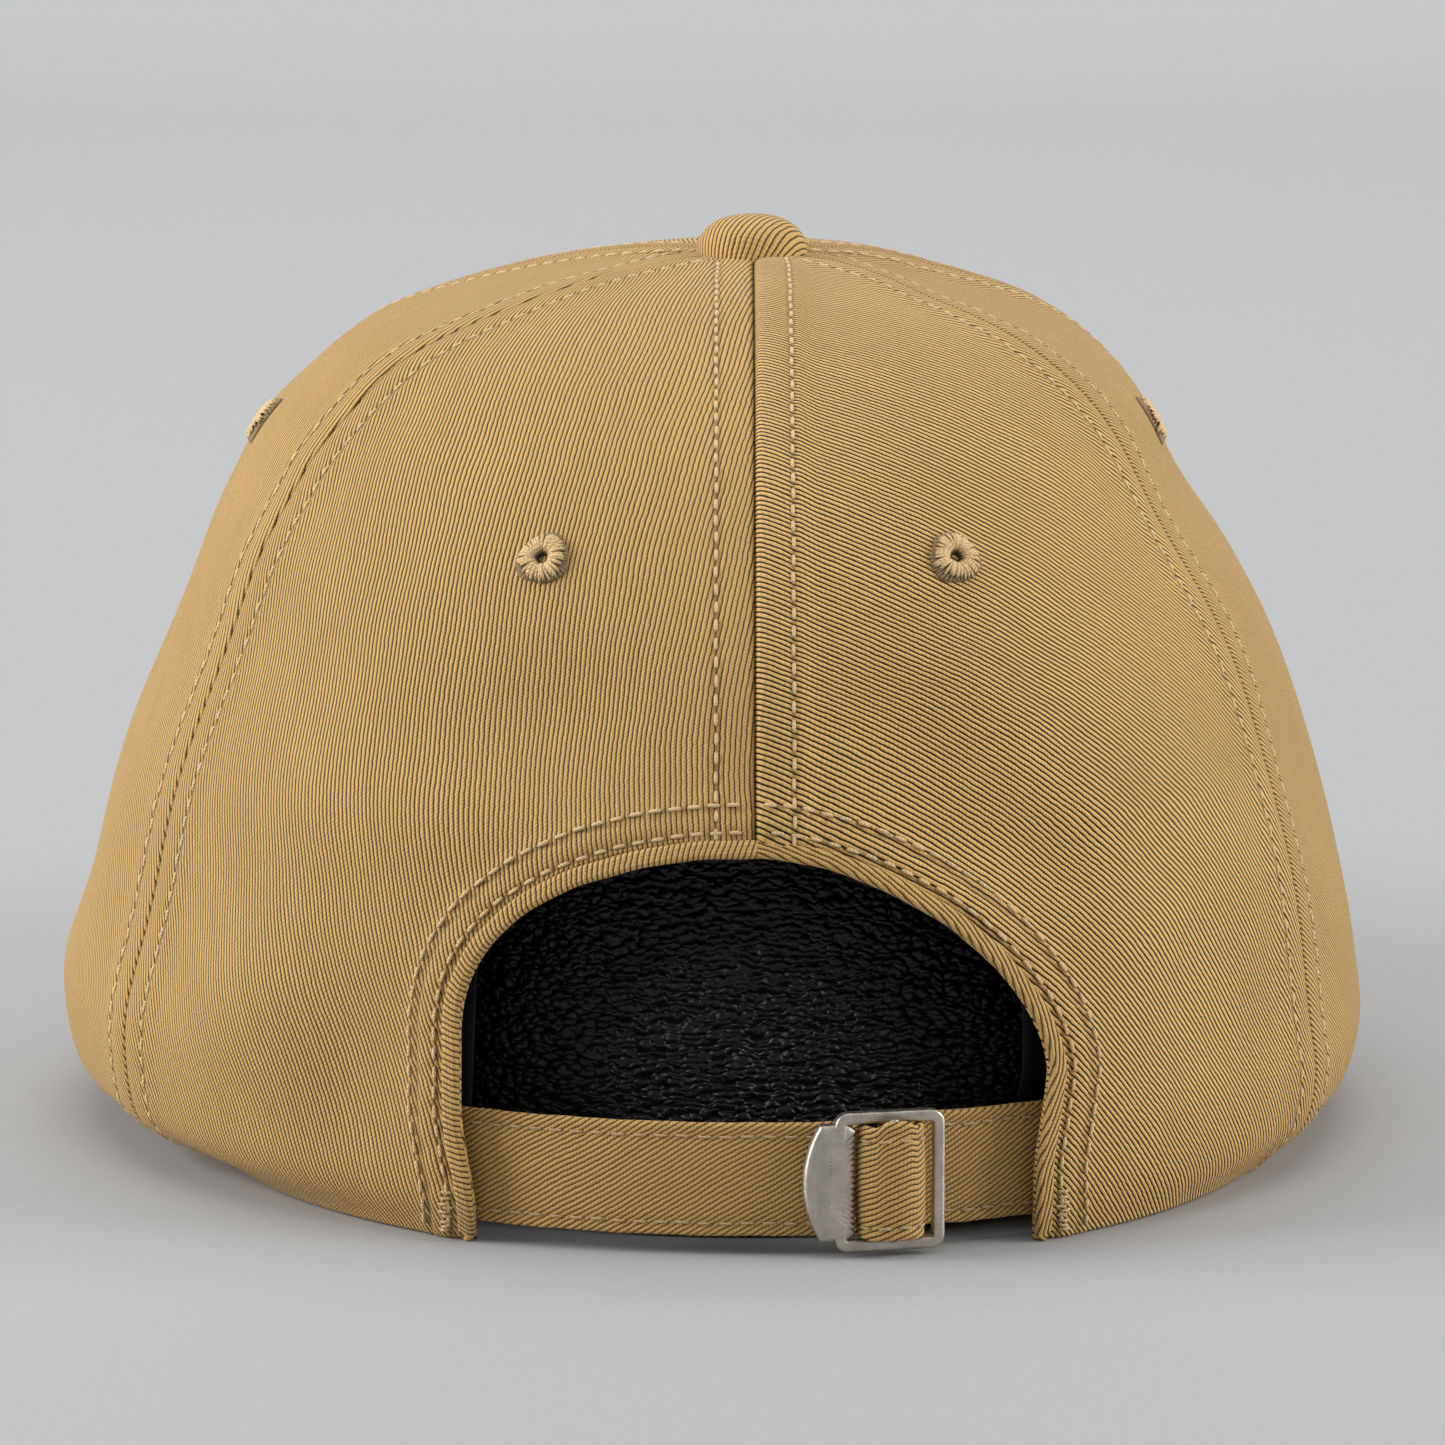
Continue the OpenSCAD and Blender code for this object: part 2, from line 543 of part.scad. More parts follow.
panel_rear_left();
panel_rear_right();
panel_side_left();
panel_side_right();
panel_front_left();
panel_front_right();
stiffener_front_left();
stiffener_front_right();
tape_rear_center();
tape_rear_left();
tape_rear_right();
tape_front_left();
tape_front_right();
tape_front_center();
eyelet_rear_left();
eyelet_rear_right();
eyelet_side_left();
eyelet_side_right();
eyelet_front_left();
eyelet_front_right();
button_cover();
button_shell();
button_post();
button_back();
sweatband();
hem_fold_left();
hem_fold_right();
rear_facing();
visor_top_cloth();
visor_board();
visor_bottom_cloth();
rear_insert();
strap_run();
strap_tail();
anchor_strap();
buckle();
bar_tack_left();
bar_tack_right();
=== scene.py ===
import bpy
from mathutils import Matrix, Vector
import math
import numpy as np


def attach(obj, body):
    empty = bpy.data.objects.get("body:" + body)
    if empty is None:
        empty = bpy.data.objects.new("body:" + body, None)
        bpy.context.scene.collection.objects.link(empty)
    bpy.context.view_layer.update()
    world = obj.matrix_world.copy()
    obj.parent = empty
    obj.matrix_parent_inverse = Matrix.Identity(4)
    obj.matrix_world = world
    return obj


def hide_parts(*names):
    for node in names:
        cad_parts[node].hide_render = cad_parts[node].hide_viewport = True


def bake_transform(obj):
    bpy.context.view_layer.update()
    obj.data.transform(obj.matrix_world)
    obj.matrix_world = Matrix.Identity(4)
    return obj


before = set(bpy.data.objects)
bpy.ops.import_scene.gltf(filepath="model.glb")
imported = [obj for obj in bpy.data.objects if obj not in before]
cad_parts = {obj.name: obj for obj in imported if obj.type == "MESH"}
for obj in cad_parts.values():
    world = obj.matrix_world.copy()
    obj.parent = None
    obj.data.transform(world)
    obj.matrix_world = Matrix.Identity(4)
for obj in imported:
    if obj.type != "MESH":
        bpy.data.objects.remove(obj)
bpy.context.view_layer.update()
print("frame loaded:", len(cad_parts), "nodes")
mm = 0.001  # shapes are worked out in millimetres and stored in metres

# ---------- shape of the crown ----------
crown = {
    "semiX": 87.5, "semiY": 94.0, "height": 114.5, "shiftY": 33.765,
    "sideExponent": 2.2, "rearExponent": 2.36, "frontExponent": 2.8,
    "sideTuck": 0.07, "rearTuck": 0.01, "tuckHeight": 0.14,
    "frontRise": 18.0, "visorHalf": 90.0,
    "seamAt": [0, 60, -60, 120, -120, 180],
    "stitchFromSeam": 4.8, "clothThick": 0.9,
    # side, relative height, height spread, outward push in mm: how the worn cloth leaves the plain curve
    "bulges": [(1, 0.0, 0.035, -12.0), (1, 0.055, 0.035, -0.4), (1, 0.11, 0.05, -0.8), (1, 0.18, 0.08, 0.5),
               (1, 0.3, 0.12, -2.2), (1, 0.45, 0.13, -1.6), (1, 0.6, 0.12, -1.2), (1, 0.73, 0.09, 2.0),
               (1, 0.83, 0.07, 4.9), (1, 0.91, 0.05, 6.3), (1, 0.97, 0.035, 0.5),
               (-1, 0.0, 0.035, -5.2), (-1, 0.055, 0.035, 0.6), (-1, 0.11, 0.05, 1.0), (-1, 0.18, 0.08, 0.2),
               (-1, 0.3, 0.12, 0.4), (-1, 0.45, 0.13, -0.7), (-1, 0.6, 0.12, -1.3), (-1, 0.73, 0.09, -3.6),
               (-1, 0.83, 0.07, 0.8), (-1, 0.91, 0.05, 0.4), (-1, 0.97, 0.035, -5.1)],
    # angle from the rear, height, angle spread, height spread, depth: soft hollows in the cloth
    "dents": [(17, 66, 9, 9, -2.2), (30, 52, 14, 7, 1.2), (-14, 62, 8, 10, -2.4), (-24, 48, 8, 6, -2.0),
              (-36, 62, 10, 10, 1.2), (8, 92, 10, 12, 0.9), (42, 28, 9, 12, 1.4), (33, 20, 6, 12, -1.5),
              (-44, 24, 9, 13, -1.7), (-33, 40, 6, 8, 1.0), (75, 40, 12, 16, 1.6), (-76, 46, 12, 16, -2.0)],
    "waveHeight": 0.34, "lean": 0.071,
}


def power(x, n):
    # x to the power n where x is positive, 0 elsewhere
    return np.where(x > 0, np.abs(x), 0.0) ** n


def ease(a, b, x):
    # smooth step from 0 at a to 1 at b
    t = np.clip((x - a) / (b - a), 0, 1)
    return t * t * (3 - 2 * t)


def sinD(a):
    return np.sin(np.radians(a))


def cosD(a):
    return np.cos(np.radians(a))


def radiusAt(th, q, off=0.0):
    # ellipse in plan, times a superellipse profile whose exponent changes round the head, drawn in near the hem
    c = crown
    n = c["sideExponent"] + (c["rearExponent"] - c["sideExponent"]) * power(cosD(th), 1.5) \
        + (c["frontExponent"] - c["sideExponent"]) * power(-cosD(th), 1.2)
    flat = 1 / np.sqrt((sinD(th) / (c["semiX"] - off)) ** 2 + (cosD(th) / (c["semiY"] - off)) ** 2)
    tuck = c["rearTuck"] + (c["sideTuck"] - c["rearTuck"]) * np.abs(sinD(th)) ** 3
    drawn = 1 - tuck * np.maximum(0, 1 - q / c["tuckHeight"]) ** 2
    return flat * drawn * power(1 - power(np.clip(q, 0, 1), n), 1 / n)


def riseAt(th):
    # the front of the hem climbs to meet the visor
    c = crown
    x = radiusAt(th, 0 * th) * sinD(th)
    return c["frontRise"] * np.maximum(0, 1 - (x / c["visorHalf"]) ** 2) * ease(96, 128, np.abs(th))


def nearAngle(a):
    # angle brought between -180 and 180
    return (a + 180) % 360 - 180


def softWaves(p):
    # a few crossed sine waves, the gentle unevenness of cloth that nothing stretches
    x, y, z = p[..., 0], p[..., 1], p[..., 2]
    return (np.sin(x * 0.16 + z * 0.09 + 0.6) + np.sin(z * 0.17 - y * 0.11 + 2.1)
            + 0.8 * np.sin(x * 0.07 - z * 0.21 + y * 0.05 + 4.0) + 0.6 * np.sin(x * 0.27 + z * 0.13 - y * 0.2)) / 3.4


def crownPoint(th, q, off=0.0):
    # a point of the crown: angle from the rear towards +X, relative height, depth inside the outer face
    c = crown
    th, q = np.broadcast_arrays(np.asarray(th, float), np.asarray(q, float))
    zb = riseAt(th)
    z = zb + (c["height"] - off - zb) * q
    r = radiusAt(th, q, off)
    near = nearAngle(th)
    push = 0 * r
    for side, height, spread, amount in c["bulges"]:
        push += amount * power(side * sinD(th), 2) * np.exp(-((q - height) / spread) ** 2)
    for a, h, da, dh, depth in c["dents"]:
        push += depth * np.exp(-((near - a) / da) ** 2 - ((z - h) / dh) ** 2)
    r = r + push * np.minimum(1, r / 30)
    p = np.stack([r * sinD(th), r * cosD(th) + c["shiftY"], z], -1)
    r = r + c["waveHeight"] * softWaves(p) * ease(2, 20, z) * np.minimum(1, r / 30)
    x = r * sinD(th)
    return np.stack([x + c["lean"] * x ** 2 / c["semiX"], r * cosD(th) + c["shiftY"], z], -1)


def unit(v):
    # vectors divided by their length
    return v / np.maximum(np.linalg.norm(v, axis=-1, keepdims=True), 1e-12)


def crownFrame(th, q, off=0.0):
    # point, direction of growing angle, direction up the cloth, outward normal, and length per degree and per unit
    # height
    p = crownPoint(th, q, off)
    da = crownPoint(th + 0.25, q, off) - crownPoint(th - 0.25, q, off)
    lo, hi = np.maximum(q - 0.003, 0), np.minimum(q + 0.003, 0.99999)
    dq = crownPoint(th, hi, off) - crownPoint(th, lo, off)
    n = unit(np.cross(dq, da))
    return p, unit(da), unit(dq), n, np.linalg.norm(da, axis=-1) / 0.5, np.linalg.norm(dq, axis=-1) / (hi - lo)


def walkHeight(w):
    # relative height after an even walk w up the cloth, from 0 at the hem to 1 at the top
    return power(np.sin(np.pi / 2 * w), 0.87)


# ---------- meshes ----------
def gridFaces(rows, cols, start=0, flip=False, wrapCols=False, wrapRows=False):
    # four-sided faces between neighbouring points of a grid, closed round where asked
    r = np.arange(rows if wrapRows else rows - 1)[:, None]
    c = np.arange(cols if wrapCols else cols - 1)[None, :]
    r2, c2 = (r + 1) % rows, (c + 1) % cols
    f = np.stack([r * cols + c, r * cols + c2, r2 * cols + c2, r2 * cols + c], -1).reshape(-1, 4) + start
    return f[:, ::-1] if flip else f


def shellFaces(rows, cols):
    # faces of a closed sheet: outer grid, inner grid, and the four edges between them
    n = rows * cols
    at = np.arange(n).reshape(rows, cols)
    rim = np.concatenate([at[0, :-1], at[:-1, -1], at[-1, :0:-1], at[:0:-1, 0]])
    nxt = np.roll(rim, -1)
    edge = np.stack([nxt, rim, rim + n, nxt + n], -1)
    return np.concatenate([gridFaces(rows, cols), gridFaces(rows, cols, n, flip=True), edge])


def makePiece(name, points, faces, uv=None, marks=None, material=None, body="crown", slot=None, stands=()):
    # mesh from points in millimetres, with its cloth coordinates, point values, material and body
    mesh = bpy.data.meshes.new(name)
    mesh.from_pydata(np.asarray(points, float).reshape(-1, 3) * mm, [], faces)
    mesh.polygons.foreach_set("use_smooth", np.ones(len(faces), bool))
    loops = np.zeros(len(mesh.loops), np.int32)
    mesh.loops.foreach_get("vertex_index", loops)
    if uv is not None:
        layer = mesh.uv_layers.new(name="cloth")
        layer.data.foreach_set("uv", (np.asarray(uv, float).reshape(-1, 2)[loops] * mm).astype(np.float32).ravel())
    for key, values in (marks or {}).items():
        mesh.attributes.new(key, "FLOAT", "POINT").data.foreach_set("value", np.asarray(values, np.float32).ravel())
    mesh.update()
    obj = bpy.data.objects.new(name, mesh)
    bpy.context.scene.collection.objects.link(obj)
    if material:
        mesh.materials.append(material)
    if body:
        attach(obj, body)
    if stands:
        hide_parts(*stands)
    return obj


def shellPiece(name, outer, inner, uv=None, marks=None, **rest):
    # closed sheet from an outer and an inner grid of the same size
    rows, cols = outer.shape[:2]
    two = lambda a: np.concatenate([np.asarray(a).reshape(rows * cols, -1)] * 2)
    faces = shellFaces(rows, cols)
    return makePiece(name, np.concatenate([outer.reshape(-1, 3), inner.reshape(-1, 3)]), faces,
                     None if uv is None else two(uv), {k: two(v) for k, v in (marks or {}).items()}, **rest)


def fixOutward(obj):
    # turn the faces if the solid's signed volume is negative
    mesh = obj.data
    co = np.zeros(len(mesh.vertices) * 3)
    mesh.vertices.foreach_get("co", co)
    co = co.reshape(-1, 3)
    mesh.calc_loop_triangles()
    tri = np.zeros(len(mesh.loop_triangles) * 3, np.int32)
    mesh.loop_triangles.foreach_get("vertices", tri)
    a, b, c = co[tri.reshape(-1, 3)].transpose(1, 0, 2)
    volume = (a * np.cross(b, c)).sum() / 6
    if volume < 0:
        mesh.flip_normals()
    return volume


def rollDepth(d, radius):
    # how far a rounded edge of that radius lies under the face, at a distance d from the edge
    return radius - np.sqrt(np.maximum(radius ** 2 - np.maximum(radius - d, 0) ** 2, 0))


def sweptSolid(path, across, up, loop, caps=True):
    # a closed profile (offsets along across and up) carried along a path; ends closed by shrinking to the middle
    pts = path[:, None, :] + across[:, None, :] * loop[None, :, 0:1] + up[:, None, :] * loop[None, :, 1:2]
    if caps:
        first, last = pts[:1], pts[-1:]
        c0, c1 = first.mean(1, keepdims=True), last.mean(1, keepdims=True)
        pts = np.concatenate([c0 + (first - c0) * 0.001, c0 + (first - c0) * 0.6, first, pts[1:-1], last,
                              c1 + (last - c1) * 0.6, c1 + (last - c1) * 0.001])
    return pts


def roundedLoop(w, t, r, steps=5, perSide=10):
    # rounded rectangle profile, width w and thickness t, as offsets in order round the profile
    r = min(r, w / 2 - 1e-3, t / 2 - 1e-3)
    a = np.linspace(0, np.pi / 2, steps)
    corner = np.stack([np.cos(a), np.sin(a)], -1) * r
    parts = []
    for k, (sx, sy) in enumerate([(1, 1), (-1, 1), (-1, -1), (1, -1)]):
        turn = k * np.pi / 2
        m = np.array([[np.cos(turn), np.sin(turn)], [-np.sin(turn), np.cos(turn)]])
        parts.append(corner @ m + [sx * (w / 2 - r), sy * (t / 2 - r)])
        nx = [(-1, 1), (-1, -1), (1, -1), (1, 1)][k]
        a0, b0 = parts[-1][-1], np.array([nx[0] * (w / 2 - (r if k % 2 == 0 else 0)),
                                          nx[1] * (t / 2 - (0 if k % 2 == 0 else r))])
        n = perSide if k % 2 == 0 else 2
        s = np.linspace(0, 1, n + 2)[1:-1, None]
        parts.append(a0 + (b0 - a0) * s)
    return np.concatenate(parts)


# stitches: short fat capsules laid end to end, each sunk a little at both ends
thread = {"pitch": 2.45, "length": 2.0, "thick": 0.50, "sink": 0.22, "rings": 6, "around": 6}


def stitchRow(path, normals, pitch=None, length=None, thick=None, sway=0.0):
    # capsules at an even pitch along a path: thickness falls off at the ends, which sink into the cloth
    pitch, length, thick = pitch or thread["pitch"], length or thread["length"], thick or thread["thick"]
    step = np.linalg.norm(np.diff(path, axis=0), axis=1)
    s = np.concatenate([[0], np.cumsum(step)])
    count = max(1, int(s[-1] // pitch))
    start = (s[-1] - count * pitch) / 2 + pitch / 2
    mid = start + pitch * np.arange(count)
    k = np.arange(count)
    u = np.linspace(-1, 1, thread["rings"] + 1)
    at = np.clip(mid[:, None] + u[None, :] * length / 2, 0, s[-1])
    look = lambda v: np.stack([np.interp(at, s, v[:, i]) for i in range(3)], -1)
    p, n = look(path), unit(look(normals))
    t = unit(np.gradient(p, axis=1))
    b = unit(np.cross(t, n))
    fat = thick / 2 * np.sqrt(np.maximum(1 - np.abs(u) ** 4, 0.02))
    p = p + n * (thick * 0.24 - thread["sink"] * np.abs(u) ** 3)[None, :, None]
    p = p + b * (sway * np.sin(k * 2.4)[:, None] * u[None, :] + 0.05 * np.sin(k * 1.7)[:, None])[..., None]
    a = np.linspace(0, 2 * np.pi, thread["around"], endpoint=False)
    ring = p[:, :, None] + fat[None, :, None, None] * (b[:, :, None] * np.cos(a)[:, None] + n[:, :, None]
            * np.sin(a)[:, None] * 0.85)
    rows, cols = thread["rings"] + 1, thread["around"]
    one = gridFaces(rows, cols, wrapCols=True)
    faces = (one[None] + (np.arange(count) * rows * cols)[:, None, None]).reshape(-1, 4)
    uv = np.stack([np.broadcast_to(at[:, :, None], ring.shape[:3]), np.broadcast_to(a * thick / 2, ring.shape[:3])],
                  -1)
    # painted shade: the sunk ends of each stitch, marked to be darkened in the colour
    endShades = np.broadcast_to((np.abs(u) ** 5)[None, :, None], ring.shape[:3])
    return ring.reshape(-1, 3), faces, uv.reshape(-1, 2), endShades.ravel()


def joinParts(parts):
    # several sets of points and faces made one, faces renumbered
    points, faces, uvs, endShades, start = [], [], [], [], 0
    for p, f, uv, endShade in parts:
        points.append(p)
        faces.append(f + start)
        uvs.append(uv)
        endShades.append(endShade)
        start += len(p)
    return np.concatenate(points), np.concatenate(faces), np.concatenate(uvs), np.concatenate(endShades)


def stitchPiece(name, parts, material, **rest):
    # joined rows of stitches as one piece, marked darker towards every end as painted shade where the thread sinks into
    # the cloth
    p, f, uv, endShades = joinParts(parts)
    return makePiece(name, p, f, uv, {"endShade": endShades}, material=look[material], slot="thread", **rest)


# ---------- materials ----------
def newGroup(name, inputs, outputs):
    # empty node group with these inputs and outputs
    g = bpy.data.node_groups.new(name, "ShaderNodeTree")
    for label, kind, value in inputs:
        s = g.interface.new_socket(label, in_out="INPUT", socket_type="NodeSocket" + kind)
        if value is not None:
            s.default_value = value
    for label, kind in outputs:
        g.interface.new_socket(label, in_out="OUTPUT", socket_type="NodeSocket" + kind)
    return g, g.nodes.new("NodeGroupInput"), g.nodes.new("NodeGroupOutput")


def link(tree, value, socket):
    # joins a socket, or sets a plain value
    if isinstance(value, bpy.types.NodeSocket):
        tree.links.new(value, socket)
    else:
        socket.default_value = value


def math2(tree, kind, a, b=0.0, c=None):
    # one arithmetic node
    n = tree.nodes.new("ShaderNodeMath")
    n.operation = kind
    link(tree, a, n.inputs[0])
    link(tree, b, n.inputs[1])
    if c is not None:
        link(tree, c, n.inputs[2])
    return n.outputs[0]


def noise(tree, vector, scale, detail=2.0, rough=0.5):
    # one noise texture node
    n = tree.nodes.new("ShaderNodeTexNoise")
    link(tree, vector, n.inputs["Vector"])
    n.inputs["Scale"].default_value = scale
    n.inputs["Detail"].default_value = detail
    n.inputs["Roughness"].default_value = rough
    return n.outputs["Fac"]


def mixColor(tree, fac, a, b, kind="MIX"):
    # colour a to colour b by fac
    n = tree.nodes.new("ShaderNodeMix")
    n.data_type, n.blend_type = "RGBA", kind
    link(tree, fac, n.inputs[0])
    link(tree, a, n.inputs[6])
    link(tree, b, n.inputs[7])
    return n.outputs[2]


def twillGroup():
    # wales as rounded ridges across the given angle, each cut into short slanting yarns; height, and a shade that is
    # painted shade in the valleys and between the yarns and painted highlight on the ridge tops, over the cloth
    g, gi, go = newGroup("twillWeave", [("Vector", "Vector", None), ("Angle", "Float", 1.7),
                                        ("Pitch", "Float", 0.00078),
                                         ("Slub", "Float", 1.0), ("Contrast", "Float", 1.0)],
                                         [("Height", "Float"), ("Shade", "Float"), ("Cloud", "Float")])
    turn = g.nodes.new("ShaderNodeVectorRotate")
    turn.rotation_type = "Z_AXIS"
    link(g, gi.outputs["Vector"], turn.inputs["Vector"])
    link(g, math2(g, "MULTIPLY", gi.outputs["Angle"], -1.0), turn.inputs["Angle"])
    parts = g.nodes.new("ShaderNodeSeparateXYZ")
    link(g, turn.outputs[0], parts.inputs[0])
    along, across = parts.outputs[0], parts.outputs[1]
    drift = math2(g, "MULTIPLY", math2(g, "SUBTRACT", noise(g, gi.outputs["Vector"], 55, 1.0), 0.5), 0.0016)
    jitter = math2(g, "MULTIPLY", math2(g, "SUBTRACT", noise(g, gi.outputs["Vector"], 900, 1.0), 0.5), 0.00022)
    jitter = math2(g, "MULTIPLY", jitter, gi.outputs["Slub"])
    a = math2(g, "ADD", across, math2(g, "ADD", drift, jitter))
    phase = math2(g, "DIVIDE", a, gi.outputs["Pitch"])
    wave = math2(g, "MULTIPLY_ADD", math2(g, "COSINE", math2(g, "MULTIPLY", phase, 2 * math.pi)), 0.5, 0.5)
    ridge = math2(g, "SUBTRACT", 1.0, math2(g, "POWER", math2(g, "SUBTRACT", 1.0, wave), 1.8))
    slant = math2(g, "ADD", math2(g, "DIVIDE", along, 0.00050), math2(g, "MULTIPLY", phase, 0.62))
    yarn = math2(g, "MULTIPLY_ADD", math2(g, "COSINE", math2(g, "MULTIPLY", slant, 2 * math.pi)), 0.5, 0.5)
    height = math2(g, "MULTIPLY", ridge, math2(g, "MULTIPLY_ADD", yarn, 0.22, 0.78))
    link(g, height, go.inputs["Height"])
    streak = g.nodes.new("ShaderNodeCombineXYZ")
    link(g, math2(g, "MULTIPLY", along, 90.0), streak.inputs[0])
    link(g, math2(g, "MULTIPLY", math2(g, "FLOOR", math2(g, "ADD", phase, 0.5)), 3.7), streak.inputs[1])
    perWale = noise(g, streak.outputs[0], 1.0, 1.0)
    # painted shade: the valleys between wales and a thin line down each ridge darkened; Contrast deepens it and lifts
    # the ridge tops as painted highlight
    valley = math2(g, "POWER", math2(g, "SUBTRACT", 1.0, wave), 2.4)
    half = math2(g, "MULTIPLY_ADD", math2(g, "COSINE", math2(g, "MULTIPLY", phase, 4 * math.pi)), 0.5, 0.5)
    valley = math2(g, "ADD", math2(g, "MULTIPLY", valley, 1.05), math2(g, "MULTIPLY", math2(g, "POWER", half, 2.5),
            0.42))
    shade = math2(g, "SUBTRACT", math2(g, "MULTIPLY_ADD", gi.outputs["Contrast"], 0.38, 0.92),
                  math2(g, "MULTIPLY", valley, gi.outputs["Contrast"]))
    shade = math2(g, "ADD", shade, math2(g, "MULTIPLY", math2(g, "SUBTRACT", perWale, 0.5), 0.20))
    shade = math2(g, "ADD", shade, math2(g, "MULTIPLY", math2(g, "SUBTRACT", yarn, 0.5), 0.20))
    link(g, shade, go.inputs["Shade"])
    link(g, noise(g, gi.outputs["Vector"], 28, 3.0, 0.6), go.inputs["Cloud"])
    return g


def fuzzGroup():
    # fine irregular fibre, for tape, band, thread and stiffening cloth
    g, gi, go = newGroup("fineFibre", [("Vector", "Vector", None), ("Fineness", "Float", 1800.0)],
                         [("Height", "Float"), ("Shade", "Float")])
    n = g.nodes.new("ShaderNodeTexNoise")
    link(g, gi.outputs["Vector"], n.inputs["Vector"])
    link(g, gi.outputs["Fineness"], n.inputs["Scale"])
    n.inputs["Detail"].default_value = 3.0
    link(g, n.outputs["Fac"], go.inputs["Height"])
    link(g, math2(g, "MULTIPLY_ADD", n.outputs["Fac"], 0.5, 0.75), go.inputs["Shade"])
    return g


def wovenGroup():
    # plain weave: over-and-under checks of two crossing sets of yarn
    g, gi, go = newGroup("plainWeave", [("Vector", "Vector", None), ("Pitch", "Float", 0.0005)],
                         [("Height", "Float"), ("Shade", "Float")])
    parts = g.nodes.new("ShaderNodeSeparateXYZ")
    link(g, gi.outputs["Vector"], parts.inputs[0])
    x = math2(g, "MULTIPLY", math2(g, "DIVIDE", parts.outputs[0], gi.outputs["Pitch"]), math.pi)
    y = math2(g, "MULTIPLY", math2(g, "DIVIDE", parts.outputs[1], gi.outputs["Pitch"]), math.pi)
    check = math2(g, "MULTIPLY", math2(g, "SINE", x), math2(g, "SINE", y))
    link(g, math2(g, "MULTIPLY_ADD", check, 0.5, 0.5), go.inputs["Height"])
    link(g, math2(g, "MULTIPLY_ADD", check, 0.22, 0.9), go.inputs["Shade"])
    return g


def pebbleGroup():
    # rounded pebbles drawn out sideways into ripples, as on embossed sheet plastic
    g, gi, go = newGroup("pebbledSheet", [("Vector", "Vector", None), ("Size", "Float", 0.00125)],
                         [("Height", "Float"), ("Fine", "Float")])
    wob = g.nodes.new("ShaderNodeTexNoise")
    link(g, gi.outputs["Vector"], wob.inputs["Vector"])
    wob.inputs["Scale"].default_value = 420
    wob.inputs["Detail"].default_value = 2
    bend = g.nodes.new("ShaderNodeVectorMath")
    bend.operation = "MULTIPLY_ADD"
    link(g, wob.outputs["Color"], bend.inputs[0])
    bend.inputs[1].default_value = (0.0006, 0.0016, 0)
    link(g, gi.outputs["Vector"], bend.inputs[2])
    flat = g.nodes.new("ShaderNodeVectorMath")
    flat.operation = "MULTIPLY"
    link(g, bend.outputs[0], flat.inputs[0])
    flat.inputs[1].default_value = (0.75, 1.6, 1.0)
    v = g.nodes.new("ShaderNodeTexVoronoi")
    link(g, flat.outputs[0], v.inputs["Vector"])
    link(g, math2(g, "DIVIDE", 1.0, gi.outputs["Size"]), v.inputs["Scale"])
    d = math2(g, "MULTIPLY", v.outputs["Distance"], 1.25)
    link(g, math2(g, "SUBTRACT", 1.0, math2(g, "MULTIPLY", d, d)), go.inputs["Height"])
    link(g, noise(g, gi.outputs["Vector"], 3500, 2.0), go.inputs["Fine"])
    return g


def wearGroup():
    # scratches and a cloudy darkening for aged metal
    g, gi, go = newGroup("agedMetal", [("Vector", "Vector", None)], [("Scratch", "Float"), ("Tarnish", "Float")])
    s = g.nodes.new("ShaderNodeVectorMath")
    s.operation = "MULTIPLY"
    link(g, gi.outputs["Vector"], s.inputs[0])
    s.inputs[1].default_value = (1500, 1500, 9000)
    link(g, noise(g, s.outputs[0], 1.0, 3.0), go.inputs["Scratch"])
    link(g, noise(g, gi.outputs["Vector"], 420, 4.0, 0.65), go.inputs["Tarnish"])
    return g


groups = {"twill": twillGroup(), "fibre": fuzzGroup(), "woven": wovenGroup(), "pebble": pebbleGroup(),
          "metal": wearGroup()}


def startMaterial(name, rough, **constants):
    # plain surface shader with texture coordinates
    m = bpy.data.materials.new(name)
    m.use_nodes = True
    t = m.node_tree
    bsdf = t.nodes["Principled BSDF"]
    bsdf.inputs["Roughness"].default_value = rough
    for key, value in constants.items():
        bsdf.inputs[key.replace("_", " ")].default_value = value
    coords = t.nodes.new("ShaderNodeTexCoord")
    return m, t, bsdf, coords


def placeGroup(tree, kind, vector, **values):
    # a pattern group set into a material
    n = tree.nodes.new("ShaderNodeGroup")
    n.node_tree = groups[kind]
    link(tree, vector, n.inputs["Vector"])
    for key, value in values.items():
        n.inputs[key].default_value = value
    return n


def bumped(tree, bsdf, height, distance, strength=1.0):
    # height turned into a tilted normal
    b = tree.nodes.new("ShaderNodeBump")
    b.inputs["Distance"].default_value = distance
    b.inputs["Strength"].default_value = strength
    link(tree, height, b.inputs["Height"])
    link(tree, b.outputs["Normal"], bsdf.inputs["Normal"])


def attribute(tree, name):
    # a value stored on the mesh's points
    n = tree.nodes.new("ShaderNodeAttribute")
    n.attribute_name = name
    return n.outputs["Fac"]


# valley is the painted shade colour between the wales; ridge is the cloth's own colour
twillLook = {"ridge": (0.60, 0.367, 0.114, 1), "valley": (0.074, 0.035, 0.008, 1), "rough": 0.66, "bump": 0.00021,
             "pitch": 0.00062,
             "cloudiness": 0.10}


